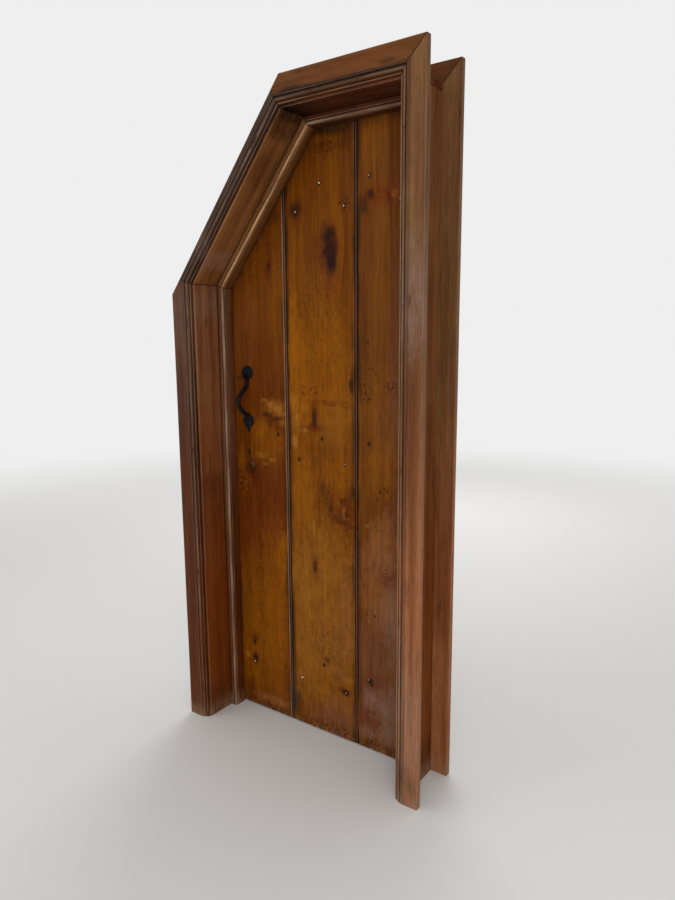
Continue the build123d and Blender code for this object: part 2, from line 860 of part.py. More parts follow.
# Latch handle: two round plates, the grip and the drop, forged as one
drop_height = lower_disc_height - disc_radius - drop_radius + disc_lap
slot_rise = lever_nose_radius + lever_clearance
slot_drop = slot_rise + (thumb_axis_in_board + disc_thickness) * sin(radians(lever_range))
with BuildPart() as handle:
    with BuildSketch(facing_front(board_face, latch_x)):
        with Locations((0, upper_disc_height), (0, lower_disc_height)):
            Circle(disc_radius)
    extrude(amount=disc_thickness)
    chamfer(handle.edges().group_by(Axis.Y)[0], disc_edge_chamfer)
    with BuildSketch(facing_front(board_face, latch_x, drop_height)):
        Circle(drop_radius)
        with BuildLine():
            Polyline(
                (-drop_radius * eighth_turn, -drop_radius * eighth_turn),
                (drop_radius * eighth_turn, -drop_radius * eighth_turn),
                (0, drop_radius - drop_length),
                (-drop_radius * eighth_turn, -drop_radius * eighth_turn),
            )
        make_face()
        with Locations((0, drop_radius)):
            Rectangle(drop_radius, drop_radius)
    extrude(amount=disc_thickness)
    add(grip.part)
    with BuildSketch(facing_front(disc_front, latch_x, thumb_axis_height)):
        with Locations((0, (slot_rise - slot_drop) / 2)):
            Rectangle(slot_width, slot_rise + slot_drop)
    extrude(amount=-disc_thickness, mode=Mode.SUBTRACT)
    for side in [-1, 1]:
        ear_x = latch_x + side * (slot_width + lever_ear_width) / 2
        with BuildSketch(upright(ear_x, board_face, thumb_axis_height)):
            with Locations((thumb_axis_in_board, 0)):
                Circle(lever_ear_radius)
            with Locations((thumb_axis_in_board / 2, 0)):
                Rectangle(thumb_axis_in_board, 2 * lever_ear_radius)
        extrude(amount=lever_ear_width / 2, both=True)
    with Locations(upright(latch_x + ear_reach, thumb_axis_depth, thumb_axis_height)):
        Hole(lever_pin_radius + rivet_clearance, 2 * ear_reach)
    sink_screws(handle_screw_places(disc_front), disc_thickness)
finish("latch_handle", handle)
drive_screws("handle_screws", handle_screw_places(disc_front), handle_screw_length)

with BuildPart() as lever_pin:
    with BuildSketch(upright(latch_x, thumb_axis_depth, thumb_axis_height)):
        Circle(lever_pin_radius)
    extrude(amount=ear_reach, both=True)
finish("thumb_lever_pin", lever_pin)

# Thumb lever: pad with a scrolled lip, blade on the pin, nose under the bar, curled tail
pad_end = -thumb_axis_in_board - lever_pad_reach
pad_start = -thumb_axis_in_board - disc_thickness - lever_pad_gap
tail_end = lever_arm + lever_tail_reach
with BuildPart() as thumb_lever:
    with BuildSketch(upright(latch_x, thumb_axis_depth, thumb_axis_height)):
        with Locations(((pad_start + tail_end) / 2, -lever_nose_radius / 4)):
            Rectangle(tail_end - pad_start, lever_blade_height - lever_nose_radius / 2)
        with Locations((0, 0), (lever_arm, 0)):
            Circle(lever_nose_radius)
        with Locations((tail_end, -lever_nose_radius / 2)):
            Circle(lever_nose_radius)
    extrude(amount=lever_blade_width / 2, both=True)
    with BuildSketch(level(thumb_axis_depth, latch_x, thumb_axis_height)):
        with Locations((0, pad_end + lever_pad_width / 2)):
            Circle(lever_pad_width / 2)
        with BuildLine():
            Polyline(
                (-lever_blade_width / 2, pad_start),
                (lever_blade_width / 2, pad_start),
                (lever_pad_width / 2, pad_end + lever_pad_width / 2),
                (-lever_pad_width / 2, pad_end + lever_pad_width / 2),
                (-lever_blade_width / 2, pad_start),
            )
        make_face()
    extrude(amount=lever_pad_thickness / 2, both=True)
    with BuildSketch(upright(latch_x, thumb_axis_depth, thumb_axis_height)):
        with Locations((pad_end + lever_scroll_radius, 0)):
            Circle(lever_scroll_radius)
    extrude(amount=lever_scroll_width / 2, both=True)
    with Locations(
        upright(latch_x + lever_blade_width / 2, thumb_axis_depth, thumb_axis_height)
    ):
        Hole(lever_pin_radius + rivet_clearance, lever_blade_width)
finish("thumb_lever", thumb_lever)

# Latch bar
with BuildPart() as latch_bar:
    with BuildSketch(facing_front(bar_front, 0, bar_centre_height)) as bar_section:
        with Locations(((bar_pivot_x + bar_end_x) / 2, 0)):
            Rectangle(bar_pivot_x - bar_end_x, bar_height)
        chamfer(bar_section.vertices().group_by(Axis.X)[0], bar_end_chamfer)
        with Locations((bar_pivot_x, 0)):
            Circle(bar_boss_radius)
            Circle(rivet_radius + rivet_clearance, mode=Mode.SUBTRACT)
    extrude(amount=-bar_thickness)
finish("latch_bar", latch_bar)

# Pivot plate and rivet of the bar
with BuildPart() as pivot_plate:
    with BuildSketch(facing_front(board_back, bar_pivot_x, bar_centre_height)):
        RectangleRounded(pivot_plate_width, pivot_plate_height, pivot_plate_corner)
        Circle(rivet_radius + rivet_clearance, mode=Mode.SUBTRACT)
    extrude(amount=-pivot_plate_thickness)
    sink_screws(pivot_screw_places(board_back + pivot_plate_thickness), pivot_plate_thickness)
finish("bar_pivot_plate", pivot_plate)

with BuildPart() as rivet:
    with BuildSketch(facing_front(board_back, bar_pivot_x, bar_centre_height)):
        Circle(rivet_radius)
    extrude(amount=-(bar_back + bar_seat_gap - board_back))
    with BuildSketch(facing_front(bar_back + bar_seat_gap, bar_pivot_x, bar_centre_height)):
        Circle(rivet_head_radius)
    extrude(amount=-rivet_head_height, taper=30)
finish("bar_rivet", rivet)

# Guard of the bar: a strap bent over it, with a screwed foot above and below
with BuildPart() as guard:
    with BuildSketch(upright(guard_x)):
        with BuildLine():
            Polyline(
                (board_back, guard_low - guard_iron - guard_foot),
                (board_back + guard_iron, guard_low - guard_iron - guard_foot),
                (board_back + guard_iron, guard_low - guard_iron),
                (guard_back + guard_iron, guard_low - guard_iron),
                (guard_back + guard_iron, guard_high + guard_iron),
                (board_back + guard_iron, guard_high + guard_iron),
                (board_back + guard_iron, guard_high + guard_iron + guard_foot),
                (board_back, guard_high + guard_iron + guard_foot),
                (board_back, guard_high),
                (guard_back, guard_high),
                (guard_back, guard_low),
                (board_back, guard_low),
                (board_back, guard_low - guard_iron - guard_foot),
            )
        make_face()
    extrude(amount=guard_width / 2, both=True)
    sink_screws(guard_screw_places(board_back + guard_iron), guard_iron)
finish("bar_guard", guard)

drive_screws(
    "bar_screws",
    pivot_screw_places(board_back + pivot_plate_thickness)
    + guard_screw_places(board_back + guard_iron),
)

# Keeper: a plate on the jamb's edge and a hook with a ramp for the closing bar
keeper_nose_front = bar_back + keeper_play
with BuildPart() as keeper:
    with BuildSketch(upright(keeper_face_x, 0, keeper_seat)):
        with BuildLine():
            Polyline(
                (keeper_front, -keeper_hook_drop),
                (keeper_back, -keeper_hook_drop),
                (keeper_back, 0),
                (keeper_nose_front + keeper_nose_tip, keeper_nose_height),
                (keeper_nose_front, keeper_nose_height),
                (keeper_nose_front, 0),
                (keeper_front, 0),
                (keeper_front, -keeper_hook_drop),
            )
        make_face()
    extrude(amount=keeper_hook_thickness)
    with BuildSketch(upright(keeper_face_x, 0, keeper_seat)):
        with BuildLine():
            Polyline(
                (keeper_front, -keeper_plate_drop),
                (keeper_back, -keeper_plate_drop),
                (keeper_back, -keeper_hook_drop),
                (keeper_front, -keeper_hook_drop),
                (keeper_front, -keeper_plate_drop),
            )
        make_face()
    extrude(amount=keeper_plate_thickness)
    sink_screws(
        keeper_screw_places(keeper_face_x + keeper_plate_thickness), keeper_plate_thickness
    )
finish("latch_keeper", keeper)
drive_screws(
    "keeper_screws",
    keeper_screw_places(keeper_face_x + keeper_plate_thickness),
    keeper_screw_length,
)
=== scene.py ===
"""Looks of a ledged plank door with a raked head, in its deep moulded frame.

Metres, +Z up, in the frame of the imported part: X runs across the door, the viewer stands at -Y and
the hinges are at +X. Depths are counted from the face of the front architraves. The long mouldings
and the boards are run again here with finer sections, and every surface gets its finish.
"""

from math import atan2, ceil, cos, degrees, pi, radians, sin

import bmesh
import bpy
from mathutils import Matrix, Vector


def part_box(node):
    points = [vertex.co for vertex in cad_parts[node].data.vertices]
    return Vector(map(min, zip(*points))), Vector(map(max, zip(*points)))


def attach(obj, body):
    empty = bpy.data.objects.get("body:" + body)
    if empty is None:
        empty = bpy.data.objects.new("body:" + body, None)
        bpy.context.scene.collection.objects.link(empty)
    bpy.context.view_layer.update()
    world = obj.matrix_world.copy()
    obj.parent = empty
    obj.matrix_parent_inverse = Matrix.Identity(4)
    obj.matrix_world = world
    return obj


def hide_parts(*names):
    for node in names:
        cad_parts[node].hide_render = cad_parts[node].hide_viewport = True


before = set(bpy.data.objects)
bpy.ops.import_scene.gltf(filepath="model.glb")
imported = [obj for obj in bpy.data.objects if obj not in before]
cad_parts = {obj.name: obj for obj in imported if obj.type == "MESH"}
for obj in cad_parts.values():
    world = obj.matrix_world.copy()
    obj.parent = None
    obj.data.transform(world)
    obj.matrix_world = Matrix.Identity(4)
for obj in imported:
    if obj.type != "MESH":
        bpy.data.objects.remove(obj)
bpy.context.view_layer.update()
mm = 0.001

# Runs of the frame, clockwise from the left foot as the viewer sees them
run_names = ["left", "raking", "head", "right"]
stop_boxes = [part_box(f"stop_{name}") for name in run_names]
head_height = stop_boxes[2][1].z
left_face = stop_boxes[0][0].x
right_face = stop_boxes[3][1].x
knee = Vector((left_face, 0, stop_boxes[0][1].z))
hip = Vector((stop_boxes[2][0].x, 0, head_height))
corners = [
    Vector((left_face, 0, 0)),
    knee,
    hip,
    Vector((right_face, 0, head_height)),
    Vector((right_face, 0, 0)),
]
directions = [(end - start).normalized() for start, end in zip(corners, corners[1:])]
bisectors = [(before + after).normalized() for before, after in zip(directions, directions[1:])]
rake_outward = Vector((-directions[1].z, 0, directions[1].x))

# Depths and widths, from the frame
front_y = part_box("front_architrave_left")[0].y
band_edge = left_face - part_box("front_architrave_left")[0].x
bead_edge = left_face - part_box("front_architrave_left")[1].x
lining_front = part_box("lining_left")[0].y - front_y
lining_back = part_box("lining_left")[1].y - front_y
lining_thickness = left_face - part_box("lining_left")[0].x
stop_front = stop_boxes[0][0].y - front_y
stop_back = stop_boxes[0][1].y - front_y
stop_width = stop_boxes[0][1].x - left_face
back_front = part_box("back_architrave_left")[0].y - front_y
back_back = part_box("back_architrave_left")[1].y - front_y
back_inner = left_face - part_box("back_architrave_left")[1].x
board_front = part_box("board_left")[0].y - front_y
board_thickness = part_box("board_left")[1].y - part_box("board_left")[0].y
leaf_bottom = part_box("board_left")[0].z
leaf_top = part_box("board_right")[1].z

# The trim of the frame along the rake, the leaf's gap within it, and the right jamb's housing
trim_offset = 45.0 * mm
rake_gap = 3.0 * mm
housing_depth = 8.0 * mm

# Sections
edge_bead_radius = 2.5 * mm
moulding_fillet = 2.0 * mm
ovolo_width = 11.5 * mm
ovolo_drop = 10.0 * mm
ovolo_set_down = 1.5 * mm
band_quirk_width = 3.5 * mm
band_quirk_depth = 5.0 * mm
soft_arris = 1.6 * mm
crisp_arris = 0.6 * mm
staff_bead_radius = 6.0 * mm
staff_quirk_depth = 2.5 * mm
staff_quirk_width = 0.9 * mm
board_bead_radius = 4.0 * mm
board_quirk_depth = 2.6 * mm
board_quirk_width = 1.4 * mm
tongue_length = 9.0 * mm
tongue_thickness = 6.0 * mm
groove_depth = 8.4 * mm
groove_width = 6.4 * mm
iron_easing = 0.5 * mm
ledge_easing = 1.0 * mm

# How deep the architrave's fillet lies, and where its ovolo meets the quirk of the band
moulding_level = ovolo_set_down + ovolo_drop
ovolo_end = bead_edge + 2 * edge_bead_radius + moulding_fillet + ovolo_width

# Blanks of the long pieces, and tolerances of cutting and joining
overrun = 170.0 * mm
ring_spacing = 24.0 * mm
point_spacing = 16.0 * mm
mitre_gap = 0.3 * mm
frame_waviness = 0.5 * mm
board_waviness = 0.7 * mm
cut_tolerance = 1e-7
merge_distance = 1e-6

# Nails: their holes, their domed heads, and the least and most turn and size of a head
nail_hole_radius = 1.7 * mm
nail_hole_start = 10 * mm
nail_dome_radius = 4.3 * mm
nail_dome_height = 1.5 * mm
nail_dome_sink = 0.7 * mm
nail_turns = {"Min": (1.4, -0.1, 0.0), "Max": (1.74, 0.1, 6.28)}
nail_sizes = {"Min": (0.85, 0.85, 0.8), "Max": (1.05, 1.05, 1.0)}

# Camera of the photograph
camera_place = Vector((1.3298, -1.7088, 1.3739))
camera_yaw = radians(35.37)
camera_pitch = radians(9.84)
camera_roll = radians(-0.40)
camera_lens = 37.03
sensor_width = 36.0


def paint(red, green, blue):
    """A colour as a screen shows it, 0 to 255, in linear values."""
    levels = [channel / 255 for channel in (red, green, blue)]
    return (*[((v + 0.055) / 1.055) ** 2.4 if v > 0.04045 else v / 12.92 for v in levels], 1.0)


class Wiring:
    """Short calls for the nodes of one tree. An input takes a plain value or another's output."""

    def __init__(self, tree):
        self.tree = tree

    def feed(self, socket, value):
        if isinstance(value, bpy.types.NodeSocket):
            self.tree.links.new(value, socket)
        else:
            socket.default_value = value

    def node(self, kind, inputs=None, **settings):
        made = self.tree.nodes.new(kind)
        for key, value in settings.items():
            setattr(made, key, value)
        for key, value in (inputs or {}).items():
            self.feed(made.inputs[key], value)
        return made

    def group(self, name, inputs):
        tree = bpy.data.node_groups[name]
        return self.node("ShaderNodeGroup", inputs, node_tree=tree).outputs

    def math(self, operation, *values):
        return self.node("ShaderNodeMath", dict(enumerate(values)), operation=operation).outputs[0]

    def plus(self, first, second):
        return self.math("ADD", first, second)

    def minus(self, first, second):
        return self.math("SUBTRACT", first, second)

    def times(self, first, second):
        return self.math("MULTIPLY", first, second)

    def step(self, value, start, end, low=0.0, high=1.0):
        """A smooth step of a value, from low at start to high at end."""
        inputs = {"Value": value, "From Min": start, "From Max": end, "To Min": low, "To Max": high}
        return self.node("ShaderNodeMapRange", inputs, interpolation_type="SMOOTHSTEP").outputs[0]

    def vector(self, operation, *values):
        made = self.node("ShaderNodeVectorMath", dict(enumerate(values)), operation=operation)
        return made.outputs["Value" if operation in ("LENGTH", "DOT_PRODUCT") else "Vector"]

    def scaled(self, vector, factor):
        inputs = {"Vector": vector, "Scale": factor}
        return self.node("ShaderNodeVectorMath", inputs, operation="SCALE").outputs["Vector"]

    def joined(self, x=0.0, y=0.0, z=0.0):
        return self.node("ShaderNodeCombineXYZ", {0: x, 1: y, 2: z}).outputs[0]

    def axis(self, vector, name):
        return self.node("ShaderNodeSeparateXYZ", {0: vector}).outputs[name]

    def attribute(self, name, output="Vector"):
        return self.node("ShaderNodeAttribute", attribute_name=name).outputs[output]

    def noise(self, vector, waves, detail=2.0, roughness=0.5, colour=False):
        """Noise with its own number of waves in a metre along each axis."""
        place = self.vector("MULTIPLY", vector, waves)
        inputs = {"Vector": place, "Scale": 1.0, "Detail": detail, "Roughness": roughness}
        return self.node("ShaderNodeTexNoise", inputs).outputs["Color" if colour else 0]

    def mix(self, factor, first, second, blend="MIX"):
        """A mix of two colours."""
        inputs = {0: factor, 6: first, 7: second}
        return self.node("ShaderNodeMix", inputs, data_type="RGBA", blend_type=blend).outputs[2]

    def lay(self, colour, mask, amount, over, blend="MIX"):
        """A colour with another laid over it where a mask shows, at most by an amount."""
        return self.mix(self.times(mask, amount), colour, over, blend)


def new_group(name, inputs, outputs, kind="ShaderNodeTree"):
    """An empty node group with its sockets, its wiring, its inputs and its output node.

    An input is a label, a kind of socket and, for most, a value.
    """
    tree = bpy.data.node_groups.new(name, kind)
    for label, socket_kind, *value in inputs:
        socket_type = f"NodeSocket{socket_kind}"
        socket = tree.interface.new_socket(label, in_out="INPUT", socket_type=socket_type)
        if value:
            socket.default_value = value[0]
    for label, socket_kind in outputs:
        socket_type = f"NodeSocket{socket_kind}"
        tree.interface.new_socket(label, in_out="OUTPUT", socket_type=socket_type)
    w = Wiring(tree)
    return w, w.node("NodeGroupInput").outputs, w.node("NodeGroupOutput").inputs


def pine_grain_group():
    """Rings, fibres, streaks, mottling and pores of a sawn board, with the tree along Z."""
    inputs = [
        ("Grain", "Vector"),
        ("Ring gap", "Float", 0.004),
        ("Pith across", "Float", 0.0),
        ("Pith depth", "Float", 0.06),
        ("Wander", "Float", 0.08),
    ]
    # Waves in a metre, detail and roughness of each noise, and where its step starts and ends
    noises = {
        "Fibres": ((560.0, 560.0, 11.0), 2.0, 0.5, 0.34, 0.68),
        "Streaks": ((30.0, 30.0, 1.0), 4.0, 0.62, 0.36, 0.64),
        "Mottle": ((120.0, 120.0, 15.0), 3.0, 0.6, 0.36, 0.66),
        "Pores": ((360.0, 360.0, 32.0), 1.0, 0.5, 0.63, 0.74),
    }
    outputs = [(name, "Float") for name in ("Rings", *noises)]
    w, given, out = new_group("pine grain", inputs, outputs)
    grain = given["Grain"]
    slow = w.noise(grain, (1.3, 1.3, 0.75), detail=1.0, colour=True)
    swing = w.scaled(w.vector("SUBTRACT", slow, (0.5, 0.5, 0.5)), given["Wander"])
    pith = w.joined(given["Pith across"], given["Pith depth"])
    from_pith = w.vector("SUBTRACT", w.vector("ADD", grain, swing), pith)
    radius = w.vector("LENGTH", w.vector("MULTIPLY", from_pith, (1.0, 1.0, 0.0)))
    ripple = w.times(w.noise(grain, (38.0, 38.0, 1.6)), 1.2)
    turn = w.math("FRACT", w.plus(w.math("DIVIDE", radius, given["Ring gap"]), ripple))
    late = w.times(w.step(turn, 0.25, 0.9), w.step(turn, 1.0, 0.92))
    shown = w.step(w.noise(grain, (7.0, 7.0, 1.3)), 0.36, 0.62, 0.3, 1.0)
    w.feed(out["Rings"], w.times(late, shown))
    for name, (waves, detail, roughness, start, end) in noises.items():
        w.feed(out[name], w.step(w.noise(grain, waves, detail, roughness), start, end))


def bent_grain_group():
    """Grain that flows round a knot, by a pull that fades as a bell curve does."""
    inputs = [
        ("Grain", "Vector"),
        ("Place", "Vector"),
        ("Centre", "Vector"),
        ("Half size", "Vector", (1.0, 1.0, 1.0)),
    ]
    w, given, out = new_group("grain round a knot", inputs, [("Grain", "Vector")])
    away = w.vector("SUBTRACT", given["Place"], given["Centre"])
    wide = w.vector("MULTIPLY", given["Half size"], (1.7, 1.0, 2.2))
    spread = w.vector("MULTIPLY", w.vector("DIVIDE", away, wide), (1.0, 0.0, 1.0))
    distance = w.vector("LENGTH", spread)
    grip = w.math("POWER", 2.72, w.times(w.times(distance, distance), -1.0))
    pull = w.scaled(w.vector("MULTIPLY", away, (-0.85, 0.0, 0.0)), grip)
    w.feed(out["Grain"], w.vector("ADD", given["Grain"], pull))


def oval_mark_group():
    """The mask of one ragged oval mark on the face of a board."""
    inputs = [
        ("Place", "Vector"),
        ("Ragged", "Vector"),
        ("Centre", "Vector"),
        ("Half size", "Vector", (1.0, 1.0, 1.0)),
        ("Soft", "Float", 0.8),
    ]
    w, given, out = new_group("oval mark", inputs, [("Mask", "Float"), ("Distance", "Float")])
    away = w.vector("SUBTRACT", given["Place"], given["Centre"])
    spread = w.vector("MULTIPLY", w.vector("DIVIDE", away, given["Half size"]), (1.0, 0.0, 1.0))
    distance = w.vector("LENGTH", w.vector("ADD", spread, given["Ragged"]))
    w.feed(out["Mask"], w.step(distance, w.plus(1.0, given["Soft"]), w.minus(1.0, given["Soft"])))
    w.feed(out["Distance"], distance)


def edge_mark_group():
    """The mask of an arris or a quirk: a line along the grain, at one place of the section."""
    inputs = [
        ("Grain", "Vector"),
        ("Across", "Float", 0.0),
        ("Depth", "Float", 0.0),
        ("Reach", "Float", 0.002),
        ("Patchy", "Float", 0.5),
    ]
    w, given, out = new_group("edge mark", inputs, [("Mask", "Float")])
    line = w.joined(given["Across"], given["Depth"])
    away = w.vector("MULTIPLY", w.vector("SUBTRACT", given["Grain"], line), (1.0, 1.0, 0.0))
    near = w.step(w.math("DIVIDE", w.vector("LENGTH", away), given["Reach"]), 1.0, 0.3)
    worn = w.step(w.noise(given["Grain"], (90.0, 90.0, 7.0), detail=4.0), 0.3, 0.65)
    w.feed(out["Mask"], w.times(near, w.minus(1.0, w.times(given["Patchy"], worn))))


def joint_line_group():
    """The mask of a mitre between two pieces, where its plane meets their faces near its corner."""
    inputs = [
        ("Place", "Vector"),
        ("Corner", "Vector"),
        ("Square to it", "Vector"),
        ("Width", "Float", 0.003),
        ("Reach", "Float", 0.125),
    ]
    w, given, out = new_group("joint line", inputs, [("Mask", "Float")])
    from_corner = w.vector("SUBTRACT", given["Place"], given["Corner"])
    away = w.vector("MULTIPLY", from_corner, (1.0, 0.0, 1.0))
    distance = w.math("ABSOLUTE", w.vector("DOT_PRODUCT", away, given["Square to it"]))
    line = w.step(distance, given["Width"], 0.0)
    near = w.math("LESS_THAN", w.vector("LENGTH", away), given["Reach"])
    w.feed(out["Mask"], w.times(line, near))


def forged_iron_group():
    """Hammer dents and rubbed patches of blacked iron."""
    inputs = [("Place", "Vector"), ("Dents in a metre", "Float", 190.0)]
    w, given, out = new_group("forged iron", inputs, [("Dents", "Float"), ("Rubbed", "Float")])
    cells = {"Vector": given["Place"], "Scale": given["Dents in a metre"]}
    dents = w.node("ShaderNodeTexVoronoi", cells, feature="SMOOTH_F1")
    w.feed(out["Dents"], dents.outputs["Distance"])
    rub = w.noise(given["Place"], (70.0, 70.0, 70.0), detail=5.0, roughness=0.65)
    w.feed(out["Rubbed"], w.step(rub, 0.5, 0.72))


for make_group in (
    pine_grain_group,
    bent_grain_group,
    oval_mark_group,
    edge_mark_group,
    joint_line_group,
    forged_iron_group,
):
    make_group()


def new_material(name):
    """A material with its wiring, its surface shader and the place of a point on its piece."""
    material = bpy.data.materials.new(name)
    material.use_nodes = True
    w = Wiring(material.node_tree)
    place = w.node("ShaderNodeTexCoord").outputs["Object"]
    return material, w, material.node_tree.nodes["Principled BSDF"], place


def shade(w, surface, colour, roughness, height, depth, gloss):
    """Feed the surface shader, with the height as a bump of the given depth in metres."""
    bump = w.node("ShaderNodeBump", {"Strength": 1.0, "Distance": depth, "Height": height})
    w.feed(surface.inputs["Base Color"], colour)
    w.feed(surface.inputs["Roughness"], roughness)
    w.feed(surface.inputs["Normal"], bump.outputs["Normal"])
    surface.inputs["Specular IOR Level"].default_value = gloss


def stain(red, green, blue):
    """The deep, middle and bright tones of one stain on pine."""
    middle = paint(red, green, blue)
    tones = ((0.74, 0.62, 0.55), (1.22, 1.26, 1.3), (1.5, 1.68, 1.8))
    return [tuple(level * share for level, share in zip(middle, tone)) + (1.0,) for tone in tones]


# Colours of the marks on the wood. Taupe stands for painted sheen, the pale haze of a reflection
mark_colours = {
    "black": paint(20, 9, 8),
    "dark": paint(50, 24, 10),
    "red": paint(92, 34, 8),
    "ember": paint(120, 50, 10),
    "grey": paint(84, 72, 58),
    "pale": paint(164, 110, 38),
    "honey": paint(150, 96, 30),
    "amber": paint(150, 88, 4),
    "buff": paint(138, 86, 46),
    "stain": paint(44, 26, 10),
    "plum": paint(108, 68, 50),
    "taupe": paint(140, 112, 98),
    "slate": paint(50, 54, 52),
}
# Rubbed wood on arrises and bead crowns, also laid as painted highlights; grime, also laid as
# painted shade in quirks, corners and gaps; and dust
worn_and_highlight_taupe = paint(148, 120, 96)
worn_and_highlight_gold = paint(188, 144, 102)
grime_and_shade = paint(22, 13, 9)
dusty = paint(138, 116, 92)
figure_shade = (0.46, 0.36, 0.28, 1.0)
figure_amounts = {"Rings": 0.2, "Fibres": 0.15, "Mottle": 0.3, "Pores": 0.45}

# Gloss and relief of the wood, and the gaps between its rings
board_gloss = 0.05
frame_gloss = 0.09
board_relief = 0.22 * mm
frame_relief = 0.2 * mm
board_ring_gap = 5.2 * mm
frame_ring_gap = 3.8 * mm
ledge_ring_gap = 4.6 * mm

# Marks of the boards, in millimetres: rings round knots, and the stain round a nail, set lower as a
# painted shadow under its head
ring_gap_round_knots = 9.0
nail_shadow_drop = 1.5
nail_stain_and_shadow_size = (5.0, 7.5)

# Painted shadow under the head and the raking stop, and dirt and dust at the foot of the boards:
# where each starts and where it is full, from the head or from the floor
painted_shadow_under_head = (60 * mm, 20 * mm)
foot_dirt = (50 * mm, 12 * mm)
foot_dust = (30 * mm, 6 * mm)

# Depths in a board: its face's marks fade out, and grime and painted shade lie on the edges inside
# the joints
face_marks_fade = (14 * mm, 6 * mm)
joint_grime_and_shade_front = (0.7 * mm, 2.0 * mm)
joint_grime_and_shade_back = (14 * mm, 10 * mm)


def grown_pine(w, grain, ring_gap, pith):
    """The figure of one board, with its pith at a place across and a depth."""
    return w.group(
        "pine grain",
        {"Grain": grain, "Ring gap": ring_gap, "Pith across": pith[0], "Pith depth": pith[1]},
    )


def plain_wood(w, pine, place, tones):
    """The slow colours of stained pine, before its marks and its figure."""
    deep, middle, bright = tones
    blotch = w.step(w.noise(place, (6.0, 6.0, 2.2), detail=3.0), 0.42, 0.66)
    return w.lay(w.mix(pine["Streaks"], deep, middle), blotch, 0.36, bright)


def figured(w, pine, colour):
    """Rings, fibres, mottling and pores laid over a colour."""
    for mark, amount in figure_amounts.items():
        colour = w.lay(colour, pine[mark], amount, figure_shade, "MULTIPLY")
    return colour


def grain_relief(w, pine):
    """The height of the grain: fibres stand up and late rings sink."""
    return w.plus(w.times(pine["Rings"], -0.5), pine["Fibres"])


def ragged_noise(w, place, amount):
    """A sideways wander for the edges of ovals, slow and fine."""
    coarse = w.noise(place, (44.0, 44.0, 28.0), detail=5.0, roughness=0.66, colour=True)
    return w.scaled(w.vector("SUBTRACT", coarse, (0.5, 0.5, 0.5)), amount)


def spot_sockets(spot):
    """The centre and half size of a mark, from its X, Z and half sizes in millimetres."""
    x, z, half_width, half_height = (measure * mm for measure in spot)
    return {"Centre": (x, 0.0, z), "Half size": (half_width, 1.0, half_height)}


def oval(w, place, ragged, spot, soft):
    """The mask of a mark, and the distance from its middle."""
    inputs = {"Place": place, "Ragged": ragged, "Soft": soft, **spot_sockets(spot)}
    return w.group("oval mark", inputs)


def laid_ovals(w, place, ragged, colour, rows, shown, soft):
    """Ovals of other colours laid over a colour where a mask shows them."""
    for kind, *spot, amount in rows:
        mask = w.times(oval(w, place, ragged, spot, soft)["Mask"], shown)
        colour = w.lay(colour, mask, amount, mark_colours[kind])
    return colour


def painted_marks(w, place, ragged, colour, marks, soft=0.55):
    """Patches of other colours, each an uneven oval with soft edges."""
    uneven = w.step(w.axis(ragged, "Y"), -0.5, 0.35, 0.4, 1.0)
    return laid_ovals(w, place, ragged, colour, marks, uneven, soft)


def speckled(w, place, ragged, colour, clusters):
    """Loose clusters of small specks and dashes."""
    specks = w.noise(place, (150.0, 150.0, 95.0), detail=3.0, roughness=0.6)
    return laid_ovals(w, place, ragged, colour, clusters, w.step(specks, 0.5, 0.6), 0.5)


